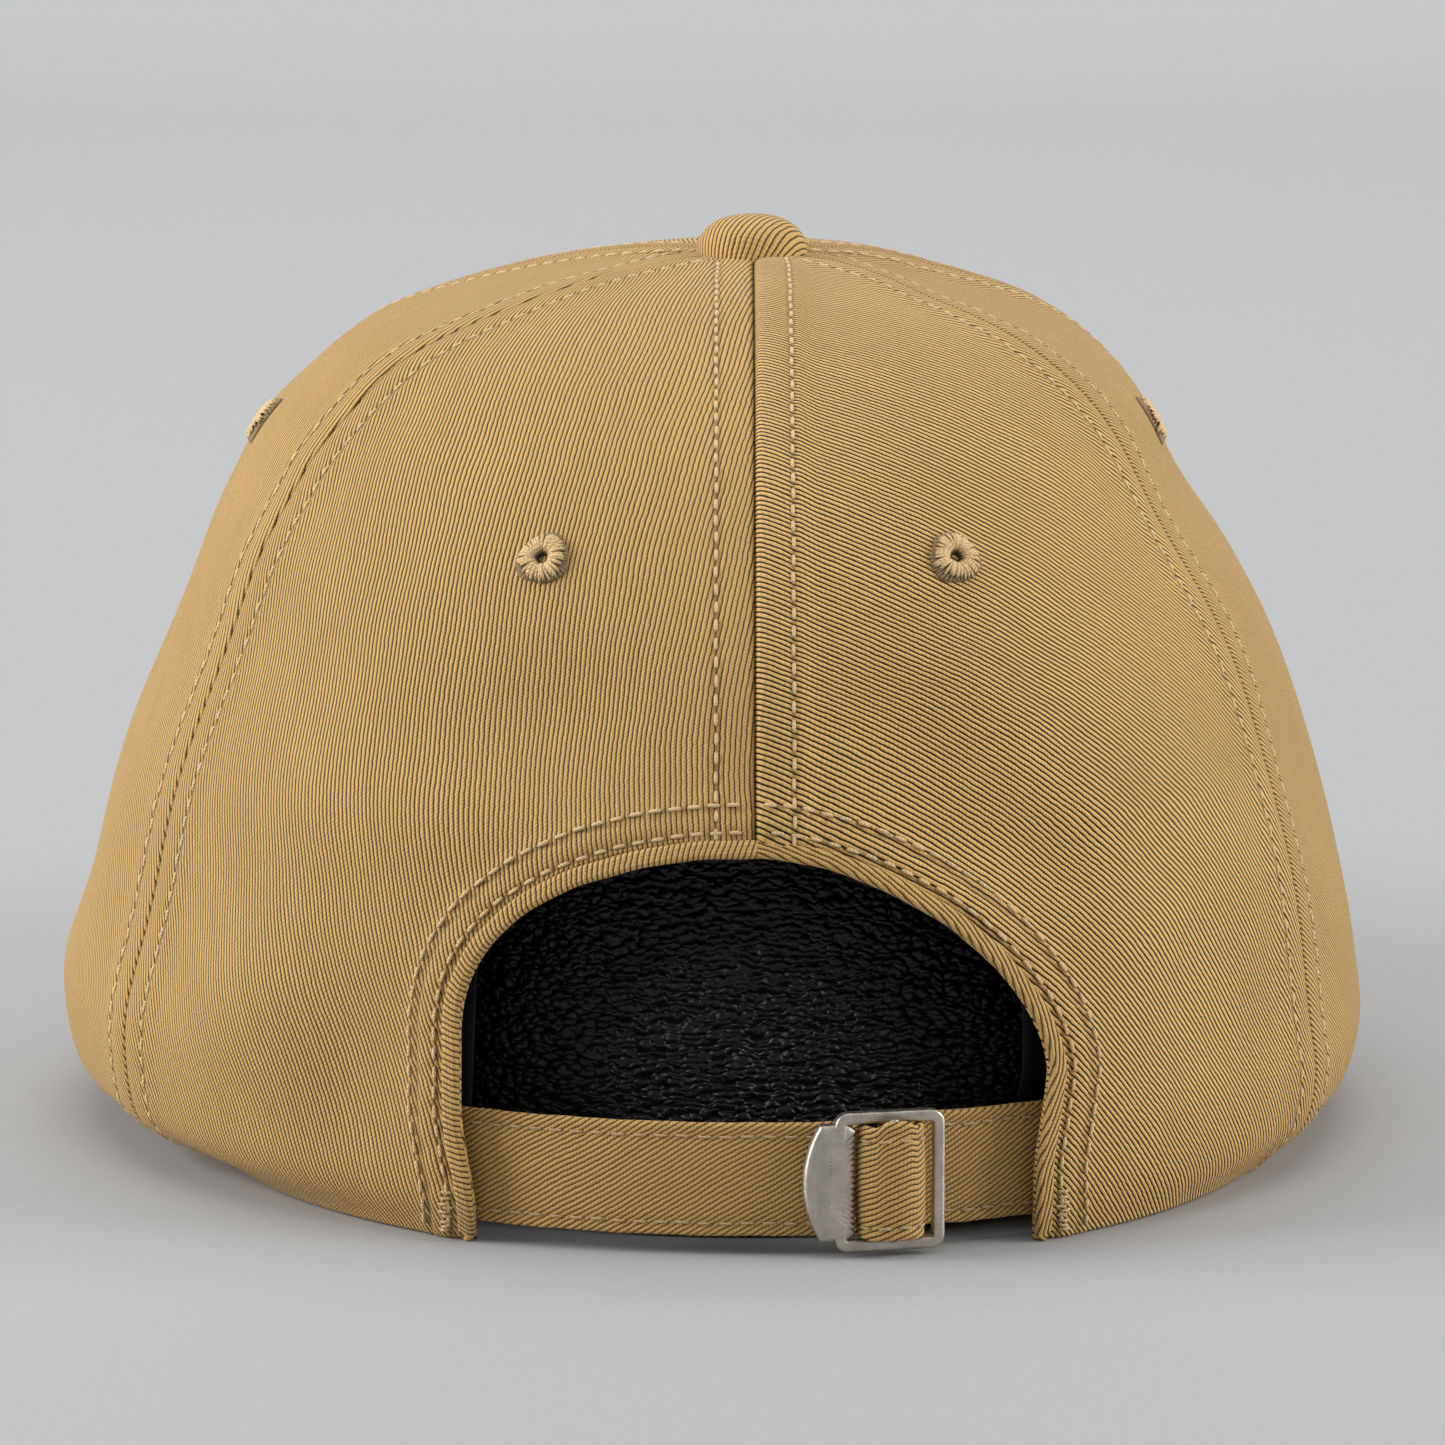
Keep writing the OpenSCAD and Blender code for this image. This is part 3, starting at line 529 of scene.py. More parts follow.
def twillMaterial(name, angle, pitch=None, creaseShading=False, tone=1.0, contrast=1.0):
    # valley to ridge colour by the weave, its dark valleys and bright ridges being painted shade and painted highlight,
    # clouded, and darkened along creases and stitch rows as painted shade
    k = twillLook
    m, t, bsdf, coords = startMaterial(name, k["rough"], Sheen_Weight=0.12, Sheen_Roughness=0.45,
                                       Specular_IOR_Level=0.28)
    w = placeGroup(t, "twill", coords.outputs["UV"], Angle=math.radians(angle), Pitch=pitch or k["pitch"],
                   Contrast=contrast)
    cloud = math2(t, "MULTIPLY_ADD", w.outputs["Cloud"], k["cloudiness"] * 2, 1 - k["cloudiness"])
    shade = math2(t, "MULTIPLY", w.outputs["Shade"], math2(t, "MULTIPLY", cloud, tone))
    # painted shade laid into the colour along creases and stitch rows
    if creaseShading:
        shade = math2(t, "MULTIPLY", shade, math2(t, "MULTIPLY_ADD", attribute(t, "creaseShade"), -0.62, 1.0))
    color = mixColor(t, shade, k["valley"], k["ridge"])
    t.nodes[-1].clamp_factor = False
    link(t, color, bsdf.inputs["Base Color"])
    rough = math2(t, "MULTIPLY_ADD", w.outputs["Cloud"], 0.12, k["rough"] - 0.06)
    link(t, rough, bsdf.inputs["Roughness"])
    bumped(t, bsdf, w.outputs["Height"], k["bump"])
    return m


def threadMaterial(name, color, twist=0.0005):
    # two-ply twist: slanting bands round the thread, dark at the ends of each stitch as painted shade where it sinks
    # into the cloth
    m, t, bsdf, coords = startMaterial(name, 0.6, Sheen_Weight=0.15, Specular_IOR_Level=0.3)
    parts = t.nodes.new("ShaderNodeSeparateXYZ")
    link(t, coords.outputs["UV"], parts.inputs[0])
    turns = math2(t, "ADD", math2(t, "DIVIDE", parts.outputs[0], twist), math2(t, "DIVIDE", parts.outputs[1],
            twist * 0.9))
    ply = math2(t, "MULTIPLY_ADD", math2(t, "COSINE", math2(t, "MULTIPLY", turns, 2 * math.pi)), 0.5, 0.5)
    f = placeGroup(t, "fibre", coords.outputs["Object"], Fineness=4200.0)
    shade = math2(t, "MULTIPLY", math2(t, "MULTIPLY_ADD", ply, 0.45, 0.72), f.outputs["Shade"])
    # painted shade at the stitch's sunk ends
    shade = math2(t, "SUBTRACT", shade, attribute(t, "endShade"))
    dark = tuple(c * 0.2 for c in color[:3]) + (1,)
    link(t, mixColor(t, shade, dark, color), bsdf.inputs["Base Color"])
    bumped(t, bsdf, math2(t, "ADD", ply, math2(t, "MULTIPLY", f.outputs["Height"], 0.4)), 0.00006)
    return m


def embroideryMaterial():
    # fibre shade, with painted shade in the hole, in the grooves between threads and at the rim's foot
    m, t, bsdf, coords = startMaterial("embroideryThread", 0.5, Sheen_Weight=0.2, Specular_IOR_Level=0.4)
    f = placeGroup(t, "fibre", coords.outputs["Object"], Fineness=3800.0)
    shade = math2(t, "MULTIPLY", f.outputs["Shade"], math2(t, "SUBTRACT", 1.0,
            math2(t, "MULTIPLY", attribute(t, "eyeletShade"), 0.92)))
    link(t, mixColor(t, shade, (0.03, 0.017, 0.006, 1), (0.36, 0.235, 0.10, 1)), bsdf.inputs["Base Color"])
    bumped(t, bsdf, f.outputs["Height"], 0.00006)
    return m


def blackClothMaterial(name, color, pitch, rough=0.9, bump=0.00008):
    # plain weave with fibre over it
    m, t, bsdf, coords = startMaterial(name, rough, Sheen_Weight=0.06, Sheen_Roughness=0.4, Specular_IOR_Level=0.2)
    w = placeGroup(t, "woven", coords.outputs["UV"], Pitch=pitch)
    f = placeGroup(t, "fibre", coords.outputs["Object"], Fineness=2600.0)
    shade = math2(t, "MULTIPLY", w.outputs["Shade"], f.outputs["Shade"])
    link(t, mixColor(t, shade, tuple(c * 0.4 for c in color[:3]) + (1,), color), bsdf.inputs["Base Color"])
    bumped(t, bsdf, math2(t, "ADD", w.outputs["Height"], math2(t, "MULTIPLY", f.outputs["Height"], 0.6)), bump)
    return m


def insertMaterial():
    # pebble height as colour and bump: the hollows between pebbles darker as painted shade
    m, t, bsdf, coords = startMaterial("pebbledBlackSheet", 0.42, Specular_IOR_Level=0.3)
    p = placeGroup(t, "pebble", coords.outputs["UV"])
    link(t, mixColor(t, p.outputs["Height"], (0.0010, 0.0010, 0.0010, 1), (0.0042, 0.0039, 0.0042, 1)),
         bsdf.inputs["Base Color"])
    link(t, math2(t, "MULTIPLY_ADD", p.outputs["Fine"], 0.2, 0.26), bsdf.inputs["Roughness"])
    bumped(t, bsdf, math2(t, "ADD", p.outputs["Height"], math2(t, "MULTIPLY", p.outputs["Fine"], 0.08)), 0.0006, 1.0)
    return m


def metalMaterial(name, light, dark, rough):
    # tarnish mixes two metals, scratches vary roughness
    m, t, bsdf, coords = startMaterial(name, rough, Specular_IOR_Level=0.5)
    bsdf.inputs["Metallic"].default_value = 1.0
    w = placeGroup(t, "metal", coords.outputs["Object"])
    link(t, mixColor(t, w.outputs["Tarnish"], dark, light), bsdf.inputs["Base Color"])
    link(t, math2(t, "MULTIPLY_ADD", w.outputs["Scratch"], 0.22, rough - 0.06), bsdf.inputs["Roughness"])
    bumped(t, bsdf, math2(t, "ADD", w.outputs["Scratch"], w.outputs["Tarnish"]), 0.00006)
    return m


def boardMaterial():
    # pale board with faint fibre
    m, t, bsdf, coords = startMaterial("visorBoard", 0.55)
    f = placeGroup(t, "fibre", coords.outputs["Object"], Fineness=900.0)
    link(t, mixColor(t, f.outputs["Shade"], (0.62, 0.58, 0.48, 1), (0.83, 0.80, 0.72, 1)), bsdf.inputs["Base Color"])
    bumped(t, bsdf, f.outputs["Height"], 0.00005)
    return m


# each twill's wale angle, and what differs from the usual cloth
twills = {
    # rearRight's contrast strengthens the painted shade and highlight on its wales, for light falling across that
    # panel; the strap's lessens them
    "rearLeft": (97, {"creaseShading": True, "pitch": 0.00062}), "rearRight": (143, {"creaseShading": True, "pitch": 0.00064,
    "contrast": 2.1}),
    "sideLeft": (118, {"creaseShading": True}), "sideRight": (140, {"creaseShading": True}),
    "frontLeft": (60, {"creaseShading": True}), "frontRight": (112, {"creaseShading": True}),
    "binding": (62, {}), "strap": (149, {"pitch": 0.00059, "contrast": 0.85}), "roll": (68, {"pitch": 0.00066}),
    "rollRight": (165, {"pitch": 0.00060}), "crest": (156, {"pitch": 0.00065}), "button": (58, {"pitch": 0.00076}),
    "visor": (72, {}),
}
look = {key: twillMaterial("twill" + key[0].upper() + key[1:], angle, **rest) for key,
        (angle, rest) in twills.items()}
look.update({
    "thread": threadMaterial("seamThread", (0.84, 0.61, 0.31, 1)),
    # the strap's thread: the seam thread darkened as painted shade for the strap's sunk rows and shaded recess
    "strapThreadShaded": threadMaterial("strapThreadShaded", (0.60, 0.42, 0.20, 1)),
    "satin": threadMaterial("satinThread", (0.82, 0.58, 0.28, 1), 0.0006),
    "blackThread": threadMaterial("blackThread", (0.02, 0.02, 0.02, 1)),
    "embroidery": embroideryMaterial(),
    "tape": blackClothMaterial("blackTape", (0.022, 0.022, 0.024, 1), 0.0006),
    # the sweatband's own black cloth, its colour made darker than the other black cloths as painted shade inside the
    # crown
    "band": blackClothMaterial("bandCloth", (0.006, 0.006, 0.0065, 1), 0.0004),
    "stiff": blackClothMaterial("stiffCloth", (0.02, 0.02, 0.022, 1), 0.0009),
    "insert": insertMaterial(),
    "nickel": metalMaterial("agedNickel", (0.80, 0.74, 0.65, 1), (0.27, 0.235, 0.19, 1), 0.36),
    "buttonMetal": metalMaterial("pressedMetal", (0.62, 0.62, 0.62, 1), (0.42, 0.42, 0.42, 1), 0.4),
    "board": boardMaterial(),
})
print("materials made:", len(look))

# ---------- crown panels ----------
arch = {"halfWidth": 37.0, "height": 50.0, "exponent": {1: 2.15, -1: 1.7}, "leg": {1: 0.53, -1: 0.43}, "roll": 1.0,
        "rows": [2.8, 6.0], "footIn": {1: 1.8, -1: 1.7}, "footTop": {1: 18, -1: 23}}
fineSteps = np.array([0, 0.1, 0.25, 0.45, 0.7, 1.0, 1.4, 1.9, 2.4, 2.8, 3.2, 3.8, 4.3, 4.6, 4.8, 5.0, 5.3, 5.8, 6.4,
                      7.2, 8.2])


def archAngle(side, x, q):
    # angle at which the crown lies x to the side, looked up in finely stepped rows of the crown
    steps = np.linspace(0, 75, 401)
    rows = crownPoint(side * steps[None, :], q[:, None])[..., 0] * side
    return side * np.array([np.interp(a, row, steps) for a, row in zip(x, rows)])


def archCurve(side, grow=0.0, count=400, low=0.0):
    # superellipse of the opening, from its foot to its top, moved outwards by grow; returns x, z
    f = np.linspace(0, 90, count)
    n = arch["exponent"][side]
    leg = arch["leg"][side] * arch["height"]
    x, z = arch["halfWidth"] * power(cosD(f), 2 / n), leg + (arch["height"] - leg) * power(sinD(f), 2 / n)
    x, z = np.append(x[0] + 0 * f[:60], x), np.append(np.linspace(0, leg * 0.985, 60), z)
    t = unit(np.stack([np.gradient(x), np.gradient(z)], -1))
    t[0], t[-1] = (0, 1), (-1, 0)
    x, z = x + t[:, 1] * grow, z - t[:, 0] * grow
    s = np.concatenate([[0], np.cumsum(np.hypot(np.diff(x), np.diff(z)))])
    even = np.linspace(0, s[-1], count)
    x, z = np.maximum(np.interp(even, s, x), 0), np.maximum(np.interp(even, s, z), low)
    return x - arch["footIn"][side] * (1 - ease(arch["footTop"][side] - 15, arch["footTop"][side], z)), z


def archEdge(side, grow=0.0, count=400):
    # the opening's outline as crown angle and relative height
    x, z = archCurve(side, grow, count)
    q = z / crown["height"]
    return archAngle(side, x, q), q


edgeLines = {s: crownPoint(*archEdge(s, 0, 1200)) for s in (1, -1)}


def distanceTo(line, p):
    # nearest distance from every point to a finely stepped line
    flat = p.reshape(-1, 3)
    out = np.full(len(flat), 99.0)
    pick = np.where((flat[:, 2] < 75) & (flat[:, 1] > crown["shiftY"]))[0]
    for k in range(0, len(pick), 3000):
        chunk = flat[pick[k:k + 3000]]
        d = ((chunk[:, None, :] - line[None]) ** 2).sum(-1)
        out[pick[k:k + 3000]] = np.sqrt(d.min(1))
    return out.reshape(p.shape[:-1])


def clothRelief(th, q, p, perDegree, side, rear):
    # outward height of the cloth over the crown's plain face, depth of its rolled edges, and painted shade: darkness
    # laid into the colour along its seam creases and stitch rows
    near = nearAngle(th)
    high = np.zeros(p.shape[:-1])
    depth = np.zeros_like(high)
    dark = np.zeros_like(high)
    fade = ease(4, 14, perDegree * 57.3)
    run = p[..., 2] * 1.15 + p[..., 0] * 0.4 + p[..., 1] * 0.3
    for seam in crown["seamAt"]:
        d = np.abs(nearAngle(near - seam)) * perDegree
        raised, roll, puff = 0.34, 0.5, 0.14
        if seam == 0:
            raised, roll, puff = (0.18, 0.30, 0.0) if side > 0 else (0.62, 1.2, 0.15)
        high += fade * raised * (1 - ease(5.0, 8.5, d)) + fade * puff * np.exp(-((d - 2.2) / 1.4) ** 2)
        high -= fade * 0.24 * np.exp(-((d - 4.8) / 0.5) ** 2)
        high += fade * 0.07 * np.sin(2 * np.pi * run / 5.1 + seam) * np.exp(-((d - 4.8) / 1.5) ** 2)
        depth = np.maximum(depth, rollDepth(d, roll) + 0.2 * np.exp(-(d / 0.35) ** 2))
        # painted shade: the seam's crease and the row of needle holes darkened in the colour
        dark = np.maximum(dark, 0.95 * np.exp(-(d / 0.22) ** 2))
        dark = np.maximum(dark, fade * 0.75 * np.exp(-((d - 4.8) / 0.34) ** 2))
    if rear:
        d = distanceTo(edgeLines[side], p)
        a, b = arch["rows"]
        high += 0.42 * (1 - ease(5.9, 8.0, d)) - 0.55 * (1 - ease(1.9, 2.5, d))
        high -= 0.42 * np.exp(-((d - a) / 0.5) ** 2) + 0.34 * np.exp(-((d - b) / 0.5) ** 2)
        high += 0.06 * np.sin(2 * np.pi * run / 5.1) * np.exp(-((d - 4.4) / 2.4) ** 2)
        depth = np.maximum(depth, rollDepth(d, arch["roll"]))
        # painted shade along both stitch rows round the opening
        dark = np.maximum(dark, 0.75 * np.exp(-((d - a) / 0.36) ** 2))
        dark = np.maximum(dark, 0.68 * np.exp(-((d - b) / 0.36) ** 2))
    hem = p[..., 2] - riseAt(th)
    depth = np.maximum(depth, rollDepth(hem, 0.8))
    high += 0.25 * (1 - ease(1, 12, hem))
    return high - depth, dark


meridians = {}


def meridianLength(angle, q):
    # length of cloth from the hem up to q along one meridian, summed once and looked up
    if angle not in meridians:
        steps = walkHeight(np.linspace(0, 1, 600))
        p = crownPoint(angle + 0 * steps, steps)
        meridians[angle] = (steps, np.concatenate([[0], np.cumsum(np.linalg.norm(np.diff(p, axis=0), axis=1))]))
    return np.interp(q, *meridians[angle])


clothBend = {30: ([(0, 0)], [(0, 0.15), (13, 0.18), (29, 0.38), (42, 0.17), (68, 0.0), (82, -0.01), (105, 0.04),
                             (125, 0.14), (150, 0.2)], 0),
             -30: ([(-43, -0.37), (-24, -0.23), (-5, 0), (10, 0.05), (25, 0.1), (43, 0.2)], [(0, 0)], 0.006)}


def clothMap(th, q, middle):
    # flattened place on a panel: across from its middle line, and up along it
    r = radiusAt(middle + 0 * q, q)
    u, v = -np.radians(nearAngle(th - middle)) * r, meridianLength(middle, q)
    if middle in clothBend:
        # the cloth was drawn out of square when sewn: slopes added up along it turn the wales a little from place to
        # place
        steps = np.linspace(-80, 200, 561)
        across, up, cross = clothBend[middle]
        for table, place in ((across, u), (up, v)):
            slope = np.interp(steps, [k[0] for k in table], [k[1] for k in table])
            u = u + np.interp(place, steps, np.cumsum(slope) * 0.5 - np.interp(0, steps, np.cumsum(slope) * 0.5))
        u = u + cross * (np.maximum(u + 33, 0)) * np.maximum(0, 54 - v)
    return np.stack([u, v], -1)


def columnShares(lengths, middleCount):
    # places across a panel: fine steps near both seams, even steps between
    shares = []
    for length in lengths:
        k = min(1.0, length / 34)
        e = fineSteps * k
        m = np.linspace(e[-1], length - e[-1], middleCount + 2)[1:-1]
        shares.append(np.concatenate([e, m, length - e[::-1]]) / length)
    return np.array(shares)


def panelGrid(thA, qA, thB, qB, middleCount):
    # rows of the panel run from its first edge to its second, close together near both
    lengths = np.linalg.norm(crownPoint(thA, qA) - crownPoint(thB, qB), axis=-1) * 1.03
    c = columnShares(np.maximum(lengths, 0.8), middleCount)
    return thA[:, None] * (1 - c) + thB[:, None] * c, qA[:, None] * (1 - c) + qB[:, None] * c


def panelPiece(name, thA, qA, thB, qB, middle, side, rear, material, thick, middleCount=56):
    # one panel: the crown's face with its relief outside and an even thickness inside
    th, q = panelGrid(thA, qA, thB, qB, middleCount)
    if thB[0] < thA[0]:
        th, q = th[:, ::-1], q[:, ::-1]
    p, along, up, n, perDegree, perHeight = crownFrame(th, q)
    relief, dark = clothRelief(th, q, p, perDegree, side, rear)
    outer = p + n * relief[..., None]
    inner = p - n * thick
    return shellPiece(name, outer[:, ::-1], inner[:, ::-1], clothMap(th, q, middle)[:, ::-1],
                      {"creaseShade": dark[:, ::-1]},
                      material=material, slot="twill", stands=[cadNames[name]])


cadNames = {"rearPanelLeft": "panel_rear_left", "rearPanelRight": "panel_rear_right",
            "sidePanelLeft": "panel_side_left",
           "sidePanelRight": "panel_side_right", "frontPanelLeft": "panel_front_left",
           "frontPanelRight": "panel_front_right"}
topWalk = 0.985
hemStart = np.array([0, 0.1, 0.25, 0.45, 0.7, 1.0]) / crown["height"]
for side, word in ((1, "Left"), (-1, "Right")):
    thArch, qArch = archEdge(side, 0, 120)
    thArch, qArch = np.concatenate([np.interp(hemStart[1:-1], qArch, thArch),
                                    thArch]), np.concatenate([hemStart[1:-1], qArch])
    order = np.argsort(qArch[:12])
    thArch[:12], qArch[:12] = thArch[:12][order], qArch[:12][order]
    length = np.concatenate([[0], np.cumsum(np.linalg.norm(np.diff(crownPoint(thArch, qArch), axis=0), axis=1))])
    walkA = lambda q: np.arcsin(q ** (1 / 0.87)) / (np.pi / 2)
    sideQ = length / crown["height"]
    w = np.linspace(0, 1, 121)[1:]
    seamQ = walkHeight(walkA(qArch[-1]) + (topWalk - walkA(qArch[-1])) * w)
    outQ = walkHeight(walkA(sideQ[-1]) + (topWalk - walkA(sideQ[-1])) * w)
    panelPiece("rearPanel" + word, np.concatenate([thArch, side * 0.012 + 0 * w]), np.concatenate([qArch, seamQ]),
               np.full(len(thArch) + len(w), side * 60.0), np.concatenate([sideQ, outQ]), side * 30, side, True,
               look["rear" + word], crown["clothThick"] + 0.15)
    q = np.concatenate([hemStart, walkHeight(np.linspace(walkA(1.8 / crown["height"]), topWalk, 150))])
    for a, b, part in ((60, 120, "side"), (120, 179.99, "front")):
        panelPiece(part + "Panel" + word, np.full(len(q), side * float(a)), q, np.full(len(q), side * float(b)), q,
                   side * (a + b) / 2, side, False, look[part + word], crown["clothThick"])
print("crown panels made")


# ---------- seams of the crown, sewn rows ----------
def onCloth(th, q, side, rear, lift=0.0):
    # a place on the finished face of the cloth, with its outward normal
    p, along, up, n, perDegree, perHeight = crownFrame(th, q)
    relief, dark = clothRelief(th, q, p, perDegree, side, rear)
    return p + n * (relief + lift)[..., None], n


def seamRow(seam, offset, lowQ, side, rear):
    # a row that keeps its distance from a seam, from the hem towards the button
    q = walkHeight(np.linspace(np.arcsin(lowQ ** (1 / 0.87)) / (np.pi / 2), 0.955, 500))
    th = np.full(len(q), float(seam))
    perDegree = crownFrame(th, q)[4]
    for k in range(2):
        perDegree = crownFrame(th + np.sign(offset) * np.abs(offset) / perDegree / 2, q)[4]
    p, n = onCloth(th + offset / perDegree, q, side, rear)
    keep = perDegree * 57.3 > 9.5
    return p[keep], n[keep]


rowParts = {"rear": [], "outer": []}
for side in (1, -1):
    archTop = (arch["height"] + 0.4) / crown["height"]
    rowParts["rear"].append(stitchRow(*seamRow(0, side * 4.8, archTop, side, True)))
    rowParts["rear"].append(stitchRow(*seamRow(side * 60, -side * 4.8, 0.012, side, True)))
    rowParts["outer"].append(stitchRow(*seamRow(side * 60, side * 4.8, 0.012, side, False)))
    rowParts["outer"].append(stitchRow(*seamRow(side * 120, -side * 4.8, 0.012, side, False)))
    rowParts["outer"].append(stitchRow(*seamRow(side * 120, side * 4.8, 0.012, side, False)))
    rowParts["outer"].append(stitchRow(*seamRow(side * 179.99, -side * 4.8, 0.012, side, False)))
    for grow in arch["rows"]:
        th, q = archEdge(side, grow, 500)
        keep = np.abs(crownPoint(th, q)[:, 0]) > 0.6
        rowParts["rear"].append(stitchRow(*[v[keep] for v in onCloth(th, np.maximum(q, 0.012), side, True)]))
for key, label in (("rear", "rearSeamStitches"), ("outer", "sideSeamStitches")):
    stitchPiece(label, rowParts[key], "thread")
print("seam rows sewn:", sum(len(x[1]) for k in rowParts.values() for x in k) // 36, "stitches")

# ---------- eyelets ----------
eyelet = {"outer": 3.65, "threads": 40, "ridges": 46, "at": {"rear": (21.5, 0.49), "side": (90, 0.565),
        "front": (150, 0.565)}}
eyeletFace = [(0.50, -0.55), (0.42, -0.25), (0.48, 0.06), (0.75, 0.34), (1.15, 0.52), (1.7, 0.62), (2.3, 0.62),
              (2.9, 0.54), (3.3, 0.38), (3.52, 0.12),
              (3.5, -0.25), (3.1, -0.5), (1.4, -0.7)]


def eyeletPiece(name, node, th0, w0, side, rear):
    # a dished ring of satin stitches: a closed profile turned round the hole, ridged along its radius
    th0, q0 = side * float(th0), float(walkHeight(np.array(w0)))
    a = np.linspace(0, 2 * np.pi, eyelet["ridges"] * 4, endpoint=False)
    prof = np.array(eyeletFace)
    t = np.linspace(0, 1, 27)[:-1]
    k = np.linspace(0, 1, len(prof) + 1)
    prof = np.concatenate([prof, prof[:1]])
    rad, high = np.interp(t, k, prof[:, 0]), np.interp(t, k, prof[:, 1])
    wob = 0.02 * np.sin(a * 3 + 1 + th0) + 0.04 * np.sin(a * 7 + 2) + 0.09 * np.sin(np.floor(a / (2 * np.pi)
            * eyelet["ridges"] + 0.5) * 12.9898 + th0)
    ridge = np.abs(np.cos(a * eyelet["ridges"] / 2)) - 0.5
    share = ease(0.6, 3.2, rad)
    r = rad[:, None] * (1 + wob[None, :] * 0.55 * share[:, None])
    h = high[:, None] + 0.26 * ridge[None, :] * ((high > 0.02) * (rad > 0.6))[:, None]
    twist = a[None, :] + 0.05 * np.sin(a * 5)[None, :] + (rad[:, None] - 1.5) * 0.05
    x, y = r * np.cos(twist), r * np.sin(twist)
    perDegree, perHeight = [float(v) for v in crownFrame(np.array(th0), np.array(q0))[4:]]
    p, n = onCloth(th0 + x / perDegree, q0 + y / perHeight, side, rear)
    # painted shade: dark in the hole, in the grooves between the ridged threads and at the low rim
    eyeletShade = np.maximum(1 - ease(0.5, 1.3, rad)[:, None] + 0 * h, 0.75 * (0.5 - ridge)[None, :])
    eyeletShade = np.maximum(eyeletShade, (1 - ease(0.0, 0.35, high))[:, None] * (rad > 3)[:, None] * 0.7)
    faces = gridFaces(len(t), len(a), wrapCols=True, wrapRows=True, flip=True)
    makePiece(name, p + n * h[..., None], faces, marks={"eyeletShade": eyeletShade}, material=look["embroidery"], slot="thread",
              stands=[node])
    # satin threads laid from the hole to the rim, each a little longer, shorter or more slanted than the next
    parts = []
    for j in range(eyelet["threads"]):
        turn = 2 * math.pi * (j + 0.35 * math.sin(j * 7.7)) / eyelet["threads"]
        reach = eyelet["outer"] * (1 + 0.07 * math.sin(j * 12.9898 + th0))
        rr = np.linspace(0.5 + 0.15 * math.sin(j * 3.1), reach, 12)
        aa = turn + 0.10 * math.sin(j * 5.3) * np.linspace(0, 1, 12)
        lift = np.interp(rr, [0.4, 0.8, 1.6, 2.6, 3.2, 3.7], [0.0, 0.62, 0.95, 0.92, 0.66,
                0.05]) + 0.05 * math.sin(j * 2.3)
        pp, nn = onCloth(th0 + rr * np.cos(aa) / perDegree, q0 + rr * np.sin(aa) / perHeight, side, rear)
        parts.append(stitchRow(pp + nn * lift[:, None], nn, pitch=0.98 * (reach - 0.62),
                               length=0.97 * (reach - 0.62), thick=0.46 + 0.06 * math.sin(j * 4.1)))
    return stitchPiece(name + "Threads", parts, "satin")


for side, word, low in ((1, "Left", "left"), (-1, "Right", "right")):
    for part, (th0, w0) in eyelet["at"].items():
        eyeletPiece(part + "Eyelet" + word, f"eyelet_{part}_{low}", th0, w0, side, part == "rear")
print("eyelets embroidered")

# ---------- button ----------
button = {"radius": 7.4, "height": 6.2, "base": 111.9, "foot": 2.4, "spread": 0.16}


def buttonPiece():
    # dome of revolution: quarter superellipse over a tucked-in foot, slightly out of round, closed underneath
    b = button
    f = np.linspace(0, 90, 22)
    rad = b["radius"] * power(cosD(f), 2 / 2.5)
    high = b["foot"] + (b["height"] - b["foot"] + 1.4) * power(sinD(f), 2 / 2.1)
    rad = np.concatenate([[0.01, 3, b["radius"] * 0.93, b["radius"] * 0.98], rad[:-1], [0.01]])
    high = np.concatenate([[0.2, 0.2, 0.25, b["foot"] * 0.45], high[:-1], high[-1:]])
    a = np.linspace(0, 2 * np.pi, 96, endpoint=False)
    r = rad[:, None] * (1 + 0.012 * np.sin(2 * a + 0.6) + 0.008 * np.sin(5 * a + 2))[None, :]
    x, y = r * np.cos(a), r * np.sin(a)
    z = b["base"] + high[:, None] + 0.06 * np.sin(3 * a + 1)[None, :] * (rad / b["radius"])[:, None] + 0 * x
    z = z - 1.3 * ease(0.8, 1.0, rad / b["radius"])[:, None] * np.maximum(0, y / b["radius"]) ** 1.3
    arc = np.concatenate([np.cumsum(np.hypot(np.diff(rad), np.diff(high))[::-1])[::-1], [0]])
    uv = np.stack([-arc[:, None] * np.cos(a), -arc[:, None] * np.sin(a)], -1)
    y = y * (1 + b["spread"] * np.maximum(0, y / b["radius"]))
    p = np.stack([x, y + crown["shiftY"], z], -1)
    return makePiece("buttonCover", p, gridFaces(len(rad), 96, wrapCols=True), uv, material=look["button"],
                     slot="twill", stands=["button_cover"])


buttonPiece()


def metalNode(name, material):
    # gives a CAD node its material
    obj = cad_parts[name]
    obj.data.materials.clear()
    obj.data.materials.append(look[material])


for node in ("button_post", "button_back"):
    metalNode(node, "buttonMetal")


def buttonShell():
    # pressed metal dome under the cloth: the cover's own profile drawn in, with an inner face behind it
    b = button
    f = np.linspace(0, 90, 20)
    rad, high = [], []
    for inset, turn in ((1.25, -1), (0.8, 1)):
        rad.append(((b["radius"] - inset) * power(cosD(f), 2 / 2.5))[::turn])
        high.append((b["foot"] + (b["height"] - b["foot"] + 1.4 - inset) * power(sinD(f), 2 / 2.1))[::turn])
    rad, high = np.concatenate(rad), np.concatenate(high)
    rad[0] = rad[-1] = 0.01
    a = np.linspace(0, 2 * np.pi, 64, endpoint=False)
    p = np.stack([rad[:, None] * np.cos(a), rad[:, None] * np.sin(a) + crown["shiftY"],
                  b["base"] + high[:, None] + 0 * a], -1)
    return fixOutward(makePiece("buttonShell", p, gridFaces(len(rad), 64, wrapCols=True),
                                material=look["buttonMetal"], slot="button_metal", stands=["button_shell"]))


buttonShell()

